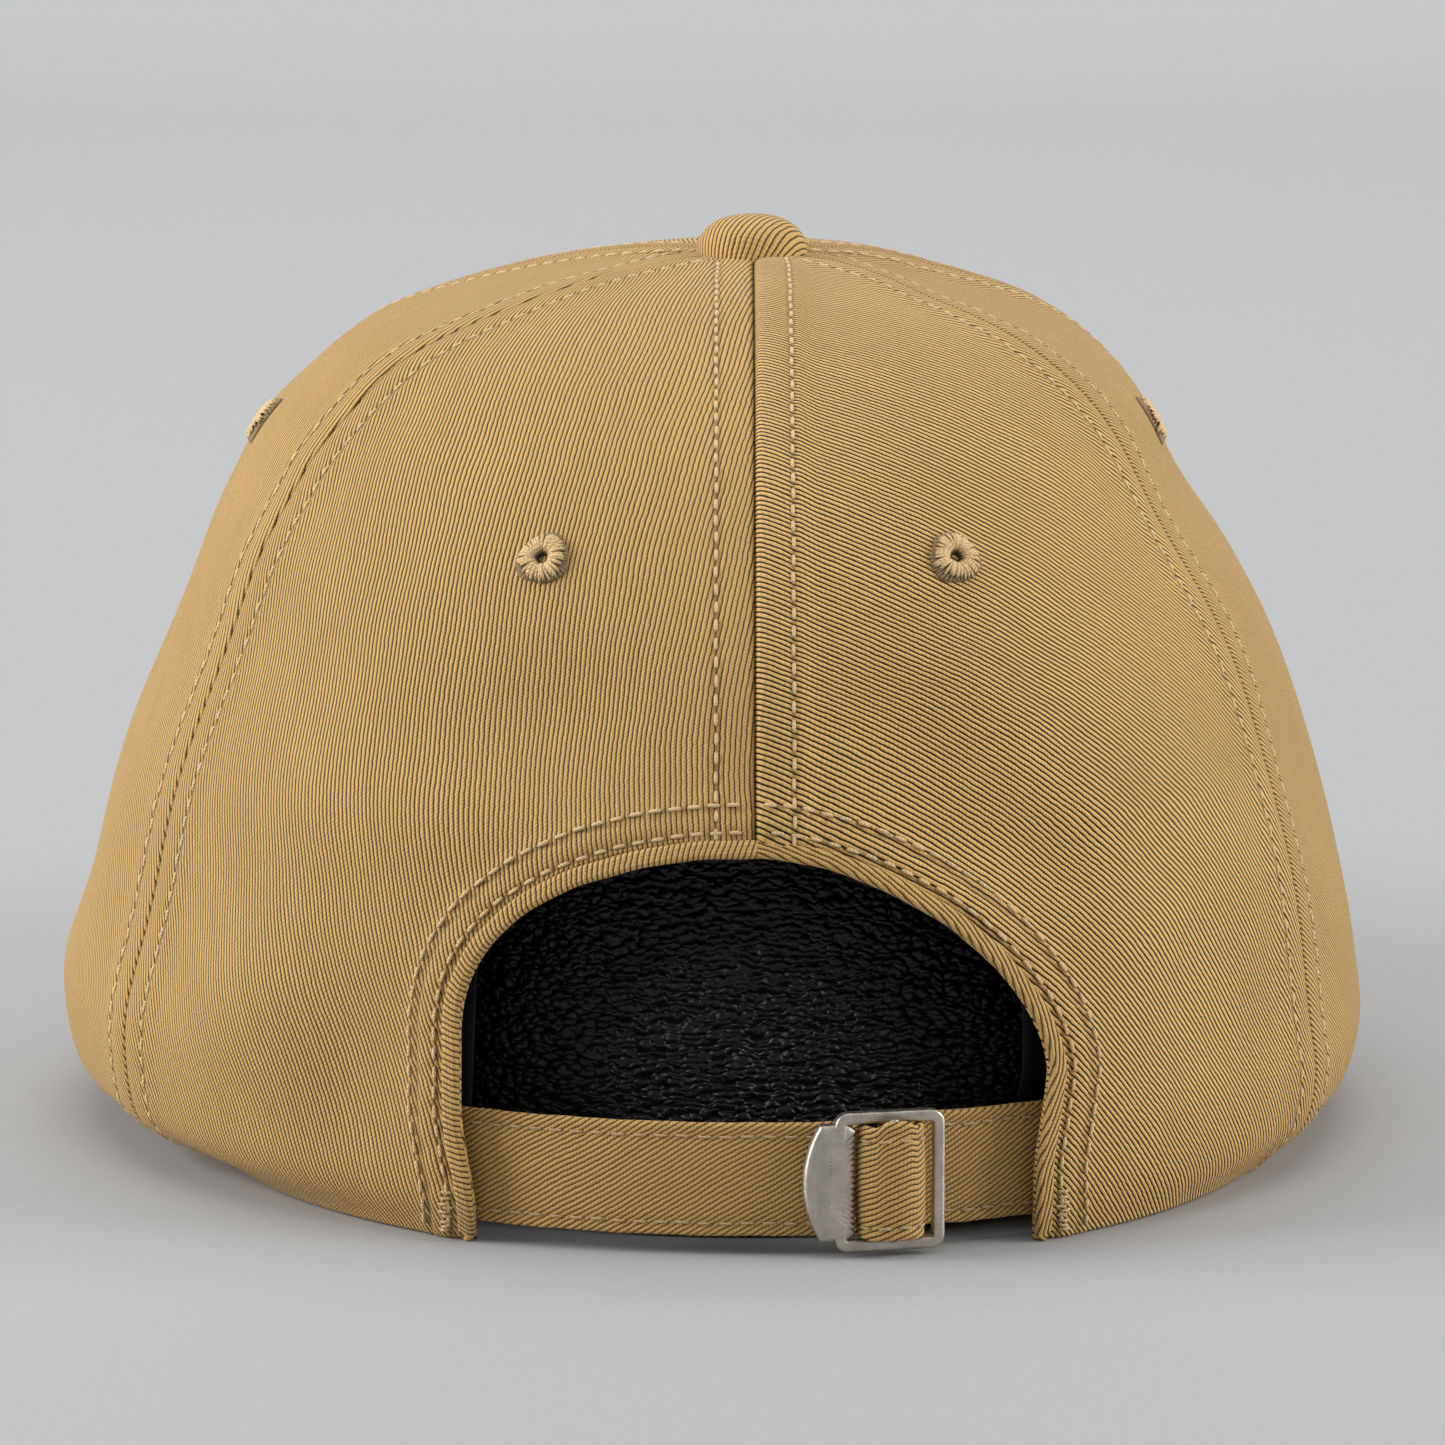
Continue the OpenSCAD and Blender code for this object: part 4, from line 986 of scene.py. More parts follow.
# ---------- strap, laid out on the circle that the closure slides on ----------
closure = {"arcY": 45.8409, "barR": 79.9808, "buckleAt": 12.3, "low": 2.4, "width": 14.4, "thick": 1.05,
           "runV": -2.05, "tailV": -4.10733, "anchorV": -5.60733, "loopR": 1.06}


def planPoint(u, v):
    # a point u along the circle of the centre bar and v outside it
    c = closure
    a = np.radians(u / c["barR"] * 57.2958 - c["buckleAt"])
    return np.stack([(c["barR"] + v) * np.sin(a), (c["barR"] + v) * np.cos(a) + c["arcY"]], -1)


def smoothPath(points, count, rounds=3):
    # a path through the given places, evened out and rounded by repeated averaging
    pts = np.array(points, float)
    s = np.concatenate([[0], np.cumsum(np.linalg.norm(np.diff(pts, axis=0), axis=1))])
    fine = np.linspace(0, s[-1], count)
    out = np.stack([np.interp(fine, s, pts[:, i]) for i in range(2)], -1)
    for k in range(rounds):
        out[1:-1] = (out[:-2] + 2 * out[1:-1] + out[2:]) / 4
    return out


def strapPiece(name, node, uv2, thick, width, mid, material, body, slotName, rows=(), bulge=0.10, wavy=0.0,
               flare=0.0):
    # rounded band profile carried along a plan path, with a shallow groove where each row is sewn
    c2 = planPoint(uv2[:, 0], uv2[:, 1])
    t = unit(np.gradient(c2, axis=0))
    n = np.stack([-t[:, 1], t[:, 0]], -1)
    if (n * (c2 - [0, closure["arcY"]])).sum() < 0:
        n = -n
    s = np.concatenate([[0], np.cumsum(np.linalg.norm(np.diff(c2, axis=0), axis=1))])
    loop = roundedLoop(width, thick, thick * 0.46, 6, 34)
    a, b = loop[:, 0], loop[:, 1]
    for row in rows:
        b = b - np.sign(b) * 0.17 * np.exp(-((np.abs(a) - row) / 0.45) ** 2) * (np.abs(b) > thick * 0.3)
    b = b + np.sign(b) * bulge * (1 - (a / (width / 2)) ** 2) * (np.abs(b) > thick * 0.3)
    path = np.concatenate([c2, np.full((len(c2), 1), mid)], -1)
    path[:, 2] += wavy * (np.sin(s * 0.55) + 0.6 * np.sin(s * 1.3 + 1))
    out = np.concatenate([n, np.zeros((len(n), 1))], -1)
    rise = np.tile([0.0, 0.0, 1.0], (len(n), 1))
    pts = sweptSolid(path, rise, out, np.stack([a, b], -1))
    ss = np.concatenate([[s[0]] * 3, s[1:-1], [s[-1]] * 3])
    # where the strap arches over the bar it spreads to fill the window
    arched = flare * np.interp(ss, s, ease(2.12, 2.5, uv2[:, 1]))[:, None]
    pts[..., 2] += (pts[..., 2] - mid) * arched + 8 * arched
    faces = gridFaces(len(ss), len(loop), wrapCols=True)
    side = np.where(b > 0, 1, -1)
    uv = np.stack([np.broadcast_to(-ss[:, None], pts.shape[:2]), np.broadcast_to(a * side + (1 - side) * 20,
            pts.shape[:2])], -1)
    obj = makePiece(name, pts, faces, uv, material=material, body=None, slot=slotName, stands=[node] if node else ())
    return obj, path, out


def arcLength(deg):
    # length along the closure's circle from the buckle to an angle
    return (deg + closure["buckleAt"]) * closure["barR"] / 57.2958


openHalf = 26.9174
rv, tv = closure["runV"], closure["tailV"]
runPlaces = [[x, rv] for x in np.linspace(arcLength(openHalf + 9), 7.4, 60)] + [
    [6.2, rv], [5.2, rv], [4.35, rv + 0.25], [3.85, -0.9], [3.75, 0.2], [3.4, 1.3], [2.45, 2.15], [1.2, 2.5],
    [0, 2.6], [-1.3, 2.5],
    [-2.45, 2.1], [-3.2, 1.3], [-3.5, 0.1], [-3.45, -1.3], [-3.3, -2.5]]
tailPlaces = [[-3.3, -2.3], [-3.4, -3.0], [-4.0, tv + 0.3], [-5.4, tv + 0.02]] + [[x, tv] for x in np.linspace(-7.2,
        arcLength(-openHalf - 14), 50)]
mid = closure["low"] + closure["width"] / 2
rowAt = closure["width"] / 2 - 1.7
runUV, tailUV = smoothPath(runPlaces, 330, 6), smoothPath(tailPlaces, 150, 4)
strapRun, runPath, runOut = strapPiece("strapRun", "strap_run", runUV, closure["thick"], closure["width"], mid,
                                       look["strap"], None, "strap_twill", [rowAt], 0.16, 0.03, 0.048)
strapRun.data.materials.append(look["crest"])
loopCount = len(roundedLoop(closure["width"], closure["thick"], closure["thick"] * 0.46, 6, 34))
firstCrest = int(np.argmax(runUV[:, 0] < 4.6)) + 2
strapRun.data.polygons.foreach_set("material_index",
                                   (np.arange(len(strapRun.data.polygons)) // loopCount >= firstCrest).astype(np.int32))
strapTail, tailPath, tailOut = strapPiece("strapTail", "strap_tail", tailUV, closure["thick"], closure["width"],
                                          mid + 0.25, look["strap"], None, "strap_twill", [rowAt], 0.14, 0.06)


def strapStitches(name, path, out, thick, keep):
    # two rows, each the same distance from an edge of the strap
    parts = []
    for row in (rowAt, -rowAt):
        p = path + out * (thick / 2 + 0.03) + [0, 0, row]
        parts.append(stitchRow(p[keep], out[keep], pitch=2.7, length=2.1, thick=0.36))
    return stitchPiece(name, parts, "strapThreadShaded", body=None)


runStitches = strapStitches("strapRunStitches", runPath, runOut, closure["thick"], slice(4, 328))
tailStitches = strapStitches("strapTailStitches", tailPath, tailOut, closure["thick"], slice(16, 146))
for obj in (strapRun, runStitches):
    fixOutward(obj)
    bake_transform(obj)
for obj in (strapTail, tailStitches):
    fixOutward(obj)
    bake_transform(obj)

# anchor strap: from behind the tail up and round the centre bar
loopMid = closure["loopR"] + 0.45
ringA = np.radians(np.linspace(-75, -405, 40))
anchorPlaces = [[x, closure["anchorV"]] for x in np.linspace(arcLength(-openHalf - 17), -2.0, 60)] + [
    [-1.2, -5.35], [-0.55, -4.7], [-0.25, -3.8], [-0.1, -2.9], [0.2, -2.1]] + [[loopMid * math.cos(a),
    loopMid * math.sin(a)] for a in ringA]
anchorUV = smoothPath(anchorPlaces, 260, 2)
anchor, anchorPath, anchorOut = strapPiece("anchorStrap", "anchor_strap", anchorUV, 0.86, closure["width"] - 0.2,
                                           mid, look["strap"], None, "strap_twill", [], 0.0)
fixOutward(anchor)
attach(anchor, "closure")
print("strap made")

# ---------- buckle ----------
buckle = {"right": 6.6, "left": 7.4, "bar": 1.5, "plate": 1.7, "clear": 0.14, "corner": 1.7, "tabOut": 3.9,
          "teeth": 18, "tooth": 0.5, "pin": 2.0, "edge": 0.42}


def buckleAxes():
    # the bar's place in plan, and the unit directions along and out of the strap's circle there
    c = planPoint(0.0, 0.0)
    along = unit(planPoint(0.01, 0.0) - planPoint(-0.01, 0.0))
    out = unit(planPoint(0.0, 0.01) - planPoint(0.0, -0.01))
    return c, along, out


barC, barAlong, barOut = buckleAxes()


def buckleSpace(x, y, z):
    # the buckle's own axes (along, up, out) into the cap's
    x, y, z = np.broadcast_arrays(x, y, z)
    flat = barC + x[..., None] * barAlong + z[..., None] * barOut
    return np.concatenate([flat, (mid + y)[..., None]], -1)


def buckleFrame():
    # bevelled bar profile carried round a rounded rectangle
    k = buckle
    halfH = closure["width"] / 2 + k["clear"] + k["bar"] / 2
    x0, x1 = -k["right"] + k["bar"] / 2, k["left"] - k["bar"] / 2
    r = k["corner"] - k["bar"] / 2
    a = np.radians(np.linspace(0, 90, 9))
    pts, nrm = [], []
    for j, (cx, cy) in enumerate([(x1 - r, halfH - r), (x0 + r, halfH - r), (x0 + r, -halfH + r),
                                  (x1 - r, -halfH + r)]):
        t = a + j * np.pi / 2
        pts.append(np.stack([cx + r * np.cos(t), cy + r * np.sin(t)], -1))
        nrm.append(np.stack([np.cos(t), np.sin(t)], -1))
    pts, nrm = np.concatenate(pts), np.concatenate(nrm)
    loop = roundedLoop(k["bar"], k["plate"], k["edge"], 5, 3)
    x = pts[:, None, 0] + nrm[:, None, 0] * loop[None, :, 0]
    y = pts[:, None, 1] + nrm[:, None, 1] * loop[None, :, 0]
    z = np.broadcast_to(loop[None, :, 1], x.shape)
    return makePiece("buckleFrame", buckleSpace(x, y, z), gridFaces(len(pts), len(loop), wrapCols=True,
            wrapRows=True), material=look["nickel"],
                     body=None, slot="nickel", stands=["buckle"])


def buckleTab():
    # thumb plate: rings of one outline (bowed outer edge, toothed inner edge) stepped up, rounded over, then drawn to
    # the middle
    k = buckle
    halfH, reach, inner = closure["width"] / 2 + 0.2, k["left"] + k["tabOut"], k["left"] - 2.0 - 0.3
    y = np.linspace(-halfH, halfH, 60)
    bow = reach - 14 + np.sqrt(14 ** 2 - y ** 2)
    bow = np.minimum(bow, reach - 1.6 + (halfH - np.abs(y)) * 0.72)
    ty = np.linspace(halfH - 0.5, -halfH + 0.5, k["teeth"] * 6 + 1)
    phase = (ty - ty[0]) / (ty[-1] - ty[0]) * k["teeth"]
    tooth = inner - k["tooth"] * (1 - np.abs(2 * (phase % 1) - 1)) ** 0.8
    top = np.linspace(bow[-1], inner, 8)[1:-1]
    outline = np.concatenate([np.stack([bow, y], -1), np.stack([top, np.full(6, halfH)], -1),
                              np.stack([tooth, ty], -1),
                              np.stack([top[::-1], np.full(6, -halfH)], -1)])
    centre = np.array([(reach + inner) / 2, 0])
    half = np.array([(reach - inner) / 2, halfH])
    rings, zs = [], []
    p2 = k["plate"] / 2
    for inset, z in [(6, -p2), (0.5, -p2), (0.12, -p2 + 0.1), (0, -p2 + 0.4), (0, p2 - 0.5), (0.14, p2 - 0.18),
                     (0.42, p2), (0.7, p2 + 0.06), (1.1, p2 + 0.12), (1.6, p2 + 0.17), (2.1, p2 + 0.2),
                     (2.6, p2 + 0.22), (3.0, p2 + 0.22), (-0.4, p2 + 0.22), (-0.004, p2 + 0.22)]:
        s = np.maximum(1 - inset / half, 0.002) if inset >= 0 else np.maximum(1 - 3.0 / half, 0.002) * -inset
        rings.append(centre + (outline - centre) * s)
        zs.append(z - 0.15)
    rings, zs = np.array(rings), np.array(zs)[:, None] + 0 * np.array(rings)[..., 0]
    return makePiece("buckleTab", buckleSpace(rings[..., 0], rings[..., 1], zs), gridFaces(len(rings), len(outline),
            wrapCols=True), material=look["nickel"],
                     body=None, slot="nickel")


def buckleBar():
    # round centre bar with closed ends let into the frame
    k = buckle
    y = np.linspace(-1, 1, 13) * (closure["width"] / 2 + 0.6)
    y = np.concatenate([y[:1], y, y[-1:]])
    r = np.concatenate([[0.01], np.full(13, k["pin"] / 2), [0.01]])
    a = np.linspace(0, 2 * np.pi, 32, endpoint=False)
    return makePiece("buckleBar", buckleSpace(r[:, None] * np.cos(a), y[:, None], r[:, None] * np.sin(a)),
                     gridFaces(15, 32, wrapCols=True),
                     material=look["nickel"], body=None, slot="nickel")


for obj in (buckleFrame(), buckleTab(), buckleBar()):
    fixOutward(obj)
    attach(obj, "buckle_body")
print("buckle made")

# ---------- facing round the opening, hem folds, tacks ----------
def facingPiece():
    # strip inside the edge of the opening: distance out from the edge across it, along the edge the other way
    thick, depth = 0.9, 1.25
    grow = np.array([0.35, 0.6, 1.2, 2.4, 4, 6, 7.6, 8.2, 8.5])
    cols = []
    for g in grow:
        thL, qL = archEdge(1, g, 120)
        thR, qR = archEdge(-1, g, 120)
        cols.append((np.concatenate([thL, thR[-2::-1]]), np.concatenate([qL, qR[-2::-1]])))
    th, q = np.array([c[0] for c in cols]), np.maximum(np.array([c[1] for c in cols]), 0.012)
    p, along, up, n, pd, ph = crownFrame(th, q)
    edge = rollDepth(np.minimum(grow - grow[0], grow[-1] - grow), 0.3)[:, None, None]
    s = np.concatenate([[0], np.cumsum(np.linalg.norm(np.diff(p[0], axis=0), axis=1))])
    uv = np.stack([np.broadcast_to(s, th.shape), np.broadcast_to(grow[:, None], th.shape)], -1)
    obj = shellPiece("rearFacing", p - n * (depth + edge), p - n * (depth + thick - edge), uv,
                     material=look["binding"], body=None, slot="twill", stands=["rear_facing"])
    fixOutward(obj)
    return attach(obj, "crown")


facingPiece()


def facingRoll():
    # the facing's turned lip: a soft rounded band laid along the edge of the opening, its wales running across it
    edges = [archEdge(side, 0.85, 260) for side in (1, -1)]
    th = np.concatenate([edges[0][0], edges[1][0][-2::-1]])
    q = np.maximum(np.concatenate([edges[0][1], edges[1][1][-2::-1]]), 0.010)
    p, along, up, n, pd, ph = crownFrame(th, q)
    run = np.concatenate([[0], np.cumsum(np.linalg.norm(np.diff(p, axis=0), axis=1))])
    sway = 0.06 * np.sin(run / 2.9) + 0.05 * np.sin(run / 1.3 + 1)
    path = p + n * (-0.05 + 0.5 * sway)[:, None]
    lateral = unit(np.cross(unit(np.gradient(path, axis=0)), n))
    pts = sweptSolid(path + lateral * sway[:, None], lateral, n, roundedLoop(2.35, 1.35, 0.66, 6, 6))
    rings, around = pts.shape[:2]
    s = np.concatenate([[run[0]] * 3, run[1:-1], [run[-1]] * 3])
    uv = np.stack([np.broadcast_to(s[:, None], (rings, around)),
                   np.broadcast_to(np.arange(around)[None, :] * 6.2 / around, (rings, around))], -1)
    obj = makePiece("facingRoll", pts, gridFaces(rings, around, wrapCols=True), uv, material=look["roll"],
                    body=None, slot="twill")
    obj.data.materials.append(look["rollRight"])
    obj.data.polygons.foreach_set("material_index",
                                  (np.arange(len(obj.data.polygons)) // around > rings // 2).astype(np.int32))
    fixOutward(obj)
    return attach(obj, "crown")


facingRoll()


def bandRound(name, node, angles, low, high, depthAt, thick, material, slotName, edge=0.4, ripple=0.0, uvScale=1.0,
              rowsN=24):
    # an upright band round the head: rows up its height, columns round the angle, at a depth inside the crown
    t = np.linspace(0, 1, rowsN)
    heights = low + (high - low) * (0.5 - 0.5 * np.cos(np.pi * t))
    zb = riseAt(angles)
    z = zb[None, :] + heights[:, None]
    off = depthAt[None, :] + 0 * z
    q = (z - zb) / (crown["height"] - off - zb)
    d = np.minimum(heights - low, high - heights)
    q = np.clip(q, 0, 1)
    p0, al, up, n, pd, ph = crownFrame(np.broadcast_to(angles, q.shape) + 0 * q, q)
    p0[..., 2] = z
    wave = ripple * (np.sin(angles * 0.21) + np.sin(angles * 0.53 + 2))[None, :] * np.sin(np.pi * t)[:, None]
    edge = rollDepth(d, edge)[:, None, None]
    flat = unit(n * [1, 1, 0])
    outer = p0 - flat * (off + wave)[..., None] - flat * edge
    inner = p0 - flat * (off + thick + wave)[..., None] + flat * edge
    run = np.cumsum(np.append(0, np.linalg.norm(np.diff(p0[rowsN // 2], axis=0), axis=1)))
    uv = np.stack([np.broadcast_to(run * uvScale, q.shape), z * uvScale], -1)
    obj = shellPiece(name, outer, inner, uv, material=look[material], body=None, slot=slotName,
                     stands=[node] if node else ())
    fixOutward(obj)
    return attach(obj, "crown"), inner, flat


def bandDepth(a):
    # deep behind the opening, close to the panels elsewhere
    pocket, near = 8.857, 3.05
    return pocket + (near - pocket) * ease(54, 72, np.abs(nearAngle(a)))


angles = np.linspace(25.5, 334.5, 260)
band, bandInner, bandFlat = bandRound("sweatband", "sweatband", angles, 1.8, 32.8, bandDepth(angles), 1.1, "band",
                                      "sweatband_cloth", 0.5, 0.12)
parts = [stitchRow(bandInner[i] - bandFlat[i] * 0.05, -bandFlat[i], pitch=3.2, length=2.5, thick=0.35) for i in (3,
        20)]
stitchPiece("bandStitches", parts, "blackThread")

insertAngles = np.linspace(-50, 50, 140)
insertOff = 8.857 + 1.1 + 1.0
bandRound("rearInsert", "rear_insert", insertAngles, 2.5, 64, insertOff + 0 * insertAngles, 0.8, "insert",
          "insert_plastic", 0.3, 0.0, 1.0, 60)

for side, word, low in ((1, "Left", "left"), (-1, "Right", "right")):
    # hem fold: rounded strip turned in under the lower edge
    th = np.linspace(28.5, 96, 120) * side
    base = crownPoint(th, 0 * th)
    t = unit(np.gradient(base, axis=0)) * [1, 1, 0]
    n = unit(np.stack([base[:, 0], base[:, 1] - crown["shiftY"], 0 * th], -1))
    path = base - n * (0.95 + 1.2 + 0.1)
    path[:, 2] = 0.8
    pts = sweptSolid(path, n, np.tile([0.0, 0.0, 1.0], (len(th), 1)), roundedLoop(2.4, 1.55, 0.6, 5, 4))
    s = np.arange(len(pts)) * 0.9
    obj = makePiece("hemFold" + word, pts, gridFaces(pts.shape[0], pts.shape[1], wrapCols=True),
                    np.stack([np.broadcast_to(s[:, None], pts.shape[:2]),
                              np.broadcast_to(np.arange(pts.shape[1])[None, :] * 0.25, pts.shape[:2])], -1),
                    material=look["binding"], body=None, slot="twill", stands=["hem_fold_" + low])
    fixOutward(obj)
    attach(obj, "crown")
    # tack: short threads laid side by side up the foot of the opening
    parts = []
    for j in range(9):
        x = np.array([arch["halfWidth"] + 0.5 + 0.25 * math.sin(j * 2.1), arch["halfWidth"] + 2.1 + 0.3
                      * math.sin(j * 3.3 + 1)])
        z = np.array([1.6 + j * 0.62, 1.75 + j * 0.62 + 0.2 * math.sin(j * 5)])
        q = np.linspace(z[0], z[1], 12) / crown["height"]
        th = archAngle(side, np.linspace(x[0], x[1], 12), q)
        p, n = onCloth(th, q, side, True, 0.12)
        parts.append(stitchRow(p, n, pitch=1.6, length=1.7, thick=0.42))
    stitchPiece("barTack" + word, parts, "thread", stands=["bar_tack_" + low])
print("bands, folds and tacks made")

# ---------- tapes and stiffening inside the crown ----------
tape = {"width": 16.0, "thick": 0.45, "rear": 1.2, "front": 2.1}


def tapePiece(name, node, middle, lowZ, off):
    # band centred on a seam, from above the hem to the button, narrowing where the crown closes
    q0 = (lowZ - float(riseAt(np.array(middle)))) / (crown["height"] - off - float(riseAt(np.array(middle))))
    w = np.linspace(math.asin(q0 ** (1 / 0.87)) / (math.pi / 2), 0.95, 110)
    q = walkHeight(w)
    u = np.array([-1, -0.985, -0.95, -0.8, -0.4, 0, 0.4, 0.8, 0.95, 0.985, 1])
    r = radiusAt(middle + 0 * q, q, off)
    half = np.minimum(np.degrees(np.arcsin(np.minimum(1, tape["width"] / 2 / np.maximum(r, 0.1)))), 28)
    th = middle + half[:, None] * u[None, :]
    qq = q[:, None] + 0 * th
    p, al, up, n, pd, ph = crownFrame(th, qq)
    edge = rollDepth((1 - np.abs(u)) * tape["width"] / 2, 0.18)[None, :, None]
    outer, inner = p - n * (off + edge), p - n * (off + tape["thick"] - edge)
    run = np.concatenate([[0], np.cumsum(np.linalg.norm(np.diff(p[:, 5], axis=0), axis=1))])
    uv = np.stack([np.broadcast_to(u[None, :] * 8, th.shape), np.broadcast_to(run[:, None], th.shape)], -1)
    obj = shellPiece(name, outer, inner, uv, material=look["tape"], body=None, slot="black_tape", stands=[node])
    fixOutward(obj)
    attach(obj, "crown")
    return [stitchRow(inner[:-8, i] - n[:-8, i] * 0.04, -n[:-8, i], pitch=3.0, length=2.3, thick=0.34) for i in (3,
            7)]


parts = tapePiece("rearTapeCenter", "tape_rear_center", 0.0, 59.5, tape["rear"])
for side, word, low in ((1, "Left", "left"), (-1, "Right", "right")):
    parts += tapePiece("rearTape" + word, "tape_rear_" + low, side * 60.0, 2.0, tape["rear"])
    parts += tapePiece("frontTape" + word, "tape_front_" + low, side * 120.0, float(riseAt(np.array(120.0))) + 3,
                       tape["front"])
parts += tapePiece("frontTapeCenter", "tape_front_center", 180.0, crown["frontRise"] + 3, tape["front"])
stitchPiece("tapeStitches", parts, "blackThread")

for side, word, low in ((1, "Left", "left"), (-1, "Right", "right")):
    q = walkHeight(np.linspace(0.035, 0.97, 90))
    th = side * np.linspace(120.4, 179.6, 60)
    thGrid, qGrid = np.meshgrid(th, q)
    p, al, up, n, pd, ph = crownFrame(thGrid, qGrid)
    outer, inner = p - n * 1.2, p - n * 1.8
    uv = clothMap(thGrid, qGrid, side * 150)
    obj = shellPiece("frontStiffener" + word, outer, inner, uv, material=look["stiff"], body=None,
                     slot="black_stiffener", stands=["stiffener_front_" + low])
    fixOutward(obj)
    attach(obj, "crown")
print("tapes and stiffening made")

# ---------- visor ----------
visor = {"half": 90.0, "midY": -58.0, "tip": 161.53, "from": 112.0, "power": 2.3, "cloth": 0.8, "board": 1.6,
         "gap": 0.15,
         "rows": [7, 13, 19.5, 26, 32.5, 39, 45.5, 52], "edgeDepth": 3.3}
visor["full"] = 2 * visor["cloth"] + visor["board"] + 2 * visor["gap"]


def visorHem(s):
    # the hem seen from above, for s from one end of the visor to the other
    a = (180 - (180 - visor["from"]) * np.abs(s)) * np.where(s < 0, -1, 1)
    p = crownPoint(a, visor["full"] / crown["height"] + 0 * a)
    x, y = p[..., 0], p[..., 1] - crown["shiftY"]
    grow = 1 + 0.3 / np.hypot(x, y)
    return x * grow, y * grow, riseAt(a)


r = float(radiusAt(np.array(visor["from"]), np.array(0.0)))
hemEndX, hemEndY = r * math.sin(math.radians(visor["from"])), r * math.cos(math.radians(visor["from"]))
visor["back"] = (hemEndY - visor["midY"]) / (1 - (hemEndX / visor["half"]) ** visor["power"]) ** (1 / visor["power"])
visor["a0"] = math.degrees(math.asin(min(1, ((hemEndY - visor["midY"]) / visor["back"]) ** (visor["power"] / 2))))


def visorPoint(s, t, z):
    # ruled between the hem and a superellipse outline, bowed down to the sides; s across, t out from the crown, z up
    v = visor
    s, t = np.broadcast_arrays(np.asarray(s, float), np.asarray(t, float))
    f = -v["a0"] + (90 + v["a0"]) * (1 - np.abs(s))
    c, d = power(cosD(f), 2 / v["power"]), power(np.abs(sinD(f)), 2 / v["power"])
    front = -v["tip"] - v["midY"]
    ex, ey = np.sign(s) * v["half"] * c, np.where(f < 0, v["midY"] + v["back"] * d, v["midY"] + front * d)
    hx, hy, hz = visorHem(s)
    far = np.maximum(0, (crown["frontRise"] - 3) * (1 - (ex / v["half"]) ** 2))
    ex = ex + np.where(ex < 0, 1.0, 0.4) * crown["lean"] * ex ** 2 / crown["semiX"]
    x, y = hx + (ex - hx) * t, hy + (ey - hy) * t
    zz = hz + (far - hz) * t + z + 1.2 * np.sin(np.pi * t) * (1 - s ** 2)
    return np.stack([x, y + crown["shiftY"], zz], -1)


def visorLayer(name, node, z0, z1, outset, material, slotName, grooves):
    # one sheet of the visor between two heights, edges rolled and rows of stitching pressed in
    s = np.sin(np.linspace(-1, 1, 150) * np.pi / 2) * 0.999
    rowLength = 66.0
    base = np.linspace(0.3, rowLength - 1, 110)
    tRows = np.unique(np.concatenate([[0, 0.15, 0.4], base, rowLength - np.array([0.9, 0.7, 0.5, 0.3, 0.15, 0])]))
    t = tRows / rowLength * outset
    sGrid, tGrid = np.meshgrid(s, t)
    p = visorPoint(sGrid, tGrid, z0)
    top = visorPoint(sGrid, tGrid, z1)
    span = np.linalg.norm(visorPoint(s, 1 + 0 * s, 0) - visorPoint(s, 0 * s, 0), axis=-1)
    d = tGrid * span[None, :]
    fromEdge = span[None, :] * (1 - tGrid)
    groove = 0 * d
    if grooves:
        for row in visor["rows"]:
            groove += 0.16 * np.exp(-((fromEdge - row + visor["edgeDepth"]) / 0.6) ** 2)
        groove += 0.16 * np.exp(-((fromEdge - visor["edgeDepth"]) / 0.6) ** 2)
    roll = rollDepth(np.minimum(d, fromEdge - span[None, :] * (1 - outset)), 0.35)
    up = np.array([0, 0, 1.0])
    lift = (groove + roll)[..., None] * up
    outer = top - (lift if grooves != "under" else roll[..., None] * up)
    inner = p + (roll[..., None] * up if grooves != "under" else lift)
    uv = np.stack([-top[..., 0], -top[..., 1]], -1)
    obj = shellPiece(name, outer, inner, uv, material=look[material], body=None, slot=slotName, stands=[node])
    fixOutward(obj)
    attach(obj, "crown")
    return obj


v = visor
z1 = v["cloth"] + v["gap"]
z2 = z1 + v["board"] + v["gap"]
visorLayer("visorBottom", "visor_bottom_cloth", 0, v["cloth"], 1.0, "visor", "twill", "under")
visorLayer("visorBoard", "visor_board", z1, z1 + v["board"], 0.975, "board", "visor_plastic", None)
visorLayer("visorTop", "visor_top_cloth", z2, z2 + v["cloth"], 1.0, "visor", "twill", "over")

# binding rolled over the outer edge of the visor
s = np.sin(np.linspace(-1, 1, 400) * np.pi / 2) * 0.999
edgeLine = visorPoint(s, 1 + 0 * s, 0)
inLine = visorPoint(s, 0.95 + 0 * s, 0)
side = unit((edgeLine - inLine) * [1, 1, 0])
path = edgeLine - side * 1.1
path[:, 2] += v["full"] / 2 + 0.2
pts = sweptSolid(path, side, np.tile([0.0, 0.0, 1.0], (len(s), 1)), roundedLoop(4.2, v["full"] + 0.4, 1.7, 7, 6))
n = pts.shape[0]
uv = np.stack([np.broadcast_to(np.linspace(0, 300, n)[:, None], pts.shape[:2]),
               np.broadcast_to(np.arange(pts.shape[1])[None, :] * 0.35, pts.shape[:2])], -1)
obj = makePiece("visorBinding", pts, gridFaces(n, pts.shape[1], wrapCols=True), uv, material=look["visor"],
                body=None, slot="twill")
fixOutward(obj)
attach(obj, "crown")

parts = []
for z, normal in ((v["full"], 1), (0.0, -1)):
    for row in [0] + v["rows"]:
        s = np.linspace(-0.985, 0.985, 500)
        span = np.linalg.norm(visorPoint(s, 1 + 0 * s, 0) - visorPoint(s, 0 * s, 0), axis=-1)
        t = 1 - (visor["edgeDepth"] + row) / span
        keep = t > 0.06
        if keep.sum() < 20:
            continue
        p = visorPoint(s[keep], t[keep], z)
        parts.append(stitchRow(p, np.tile([0, 0, float(normal)], (len(p), 1)), pitch=3.0, length=2.5, thick=0.4))
stitchPiece("visorStitches", parts, "thread")
print("visor made")


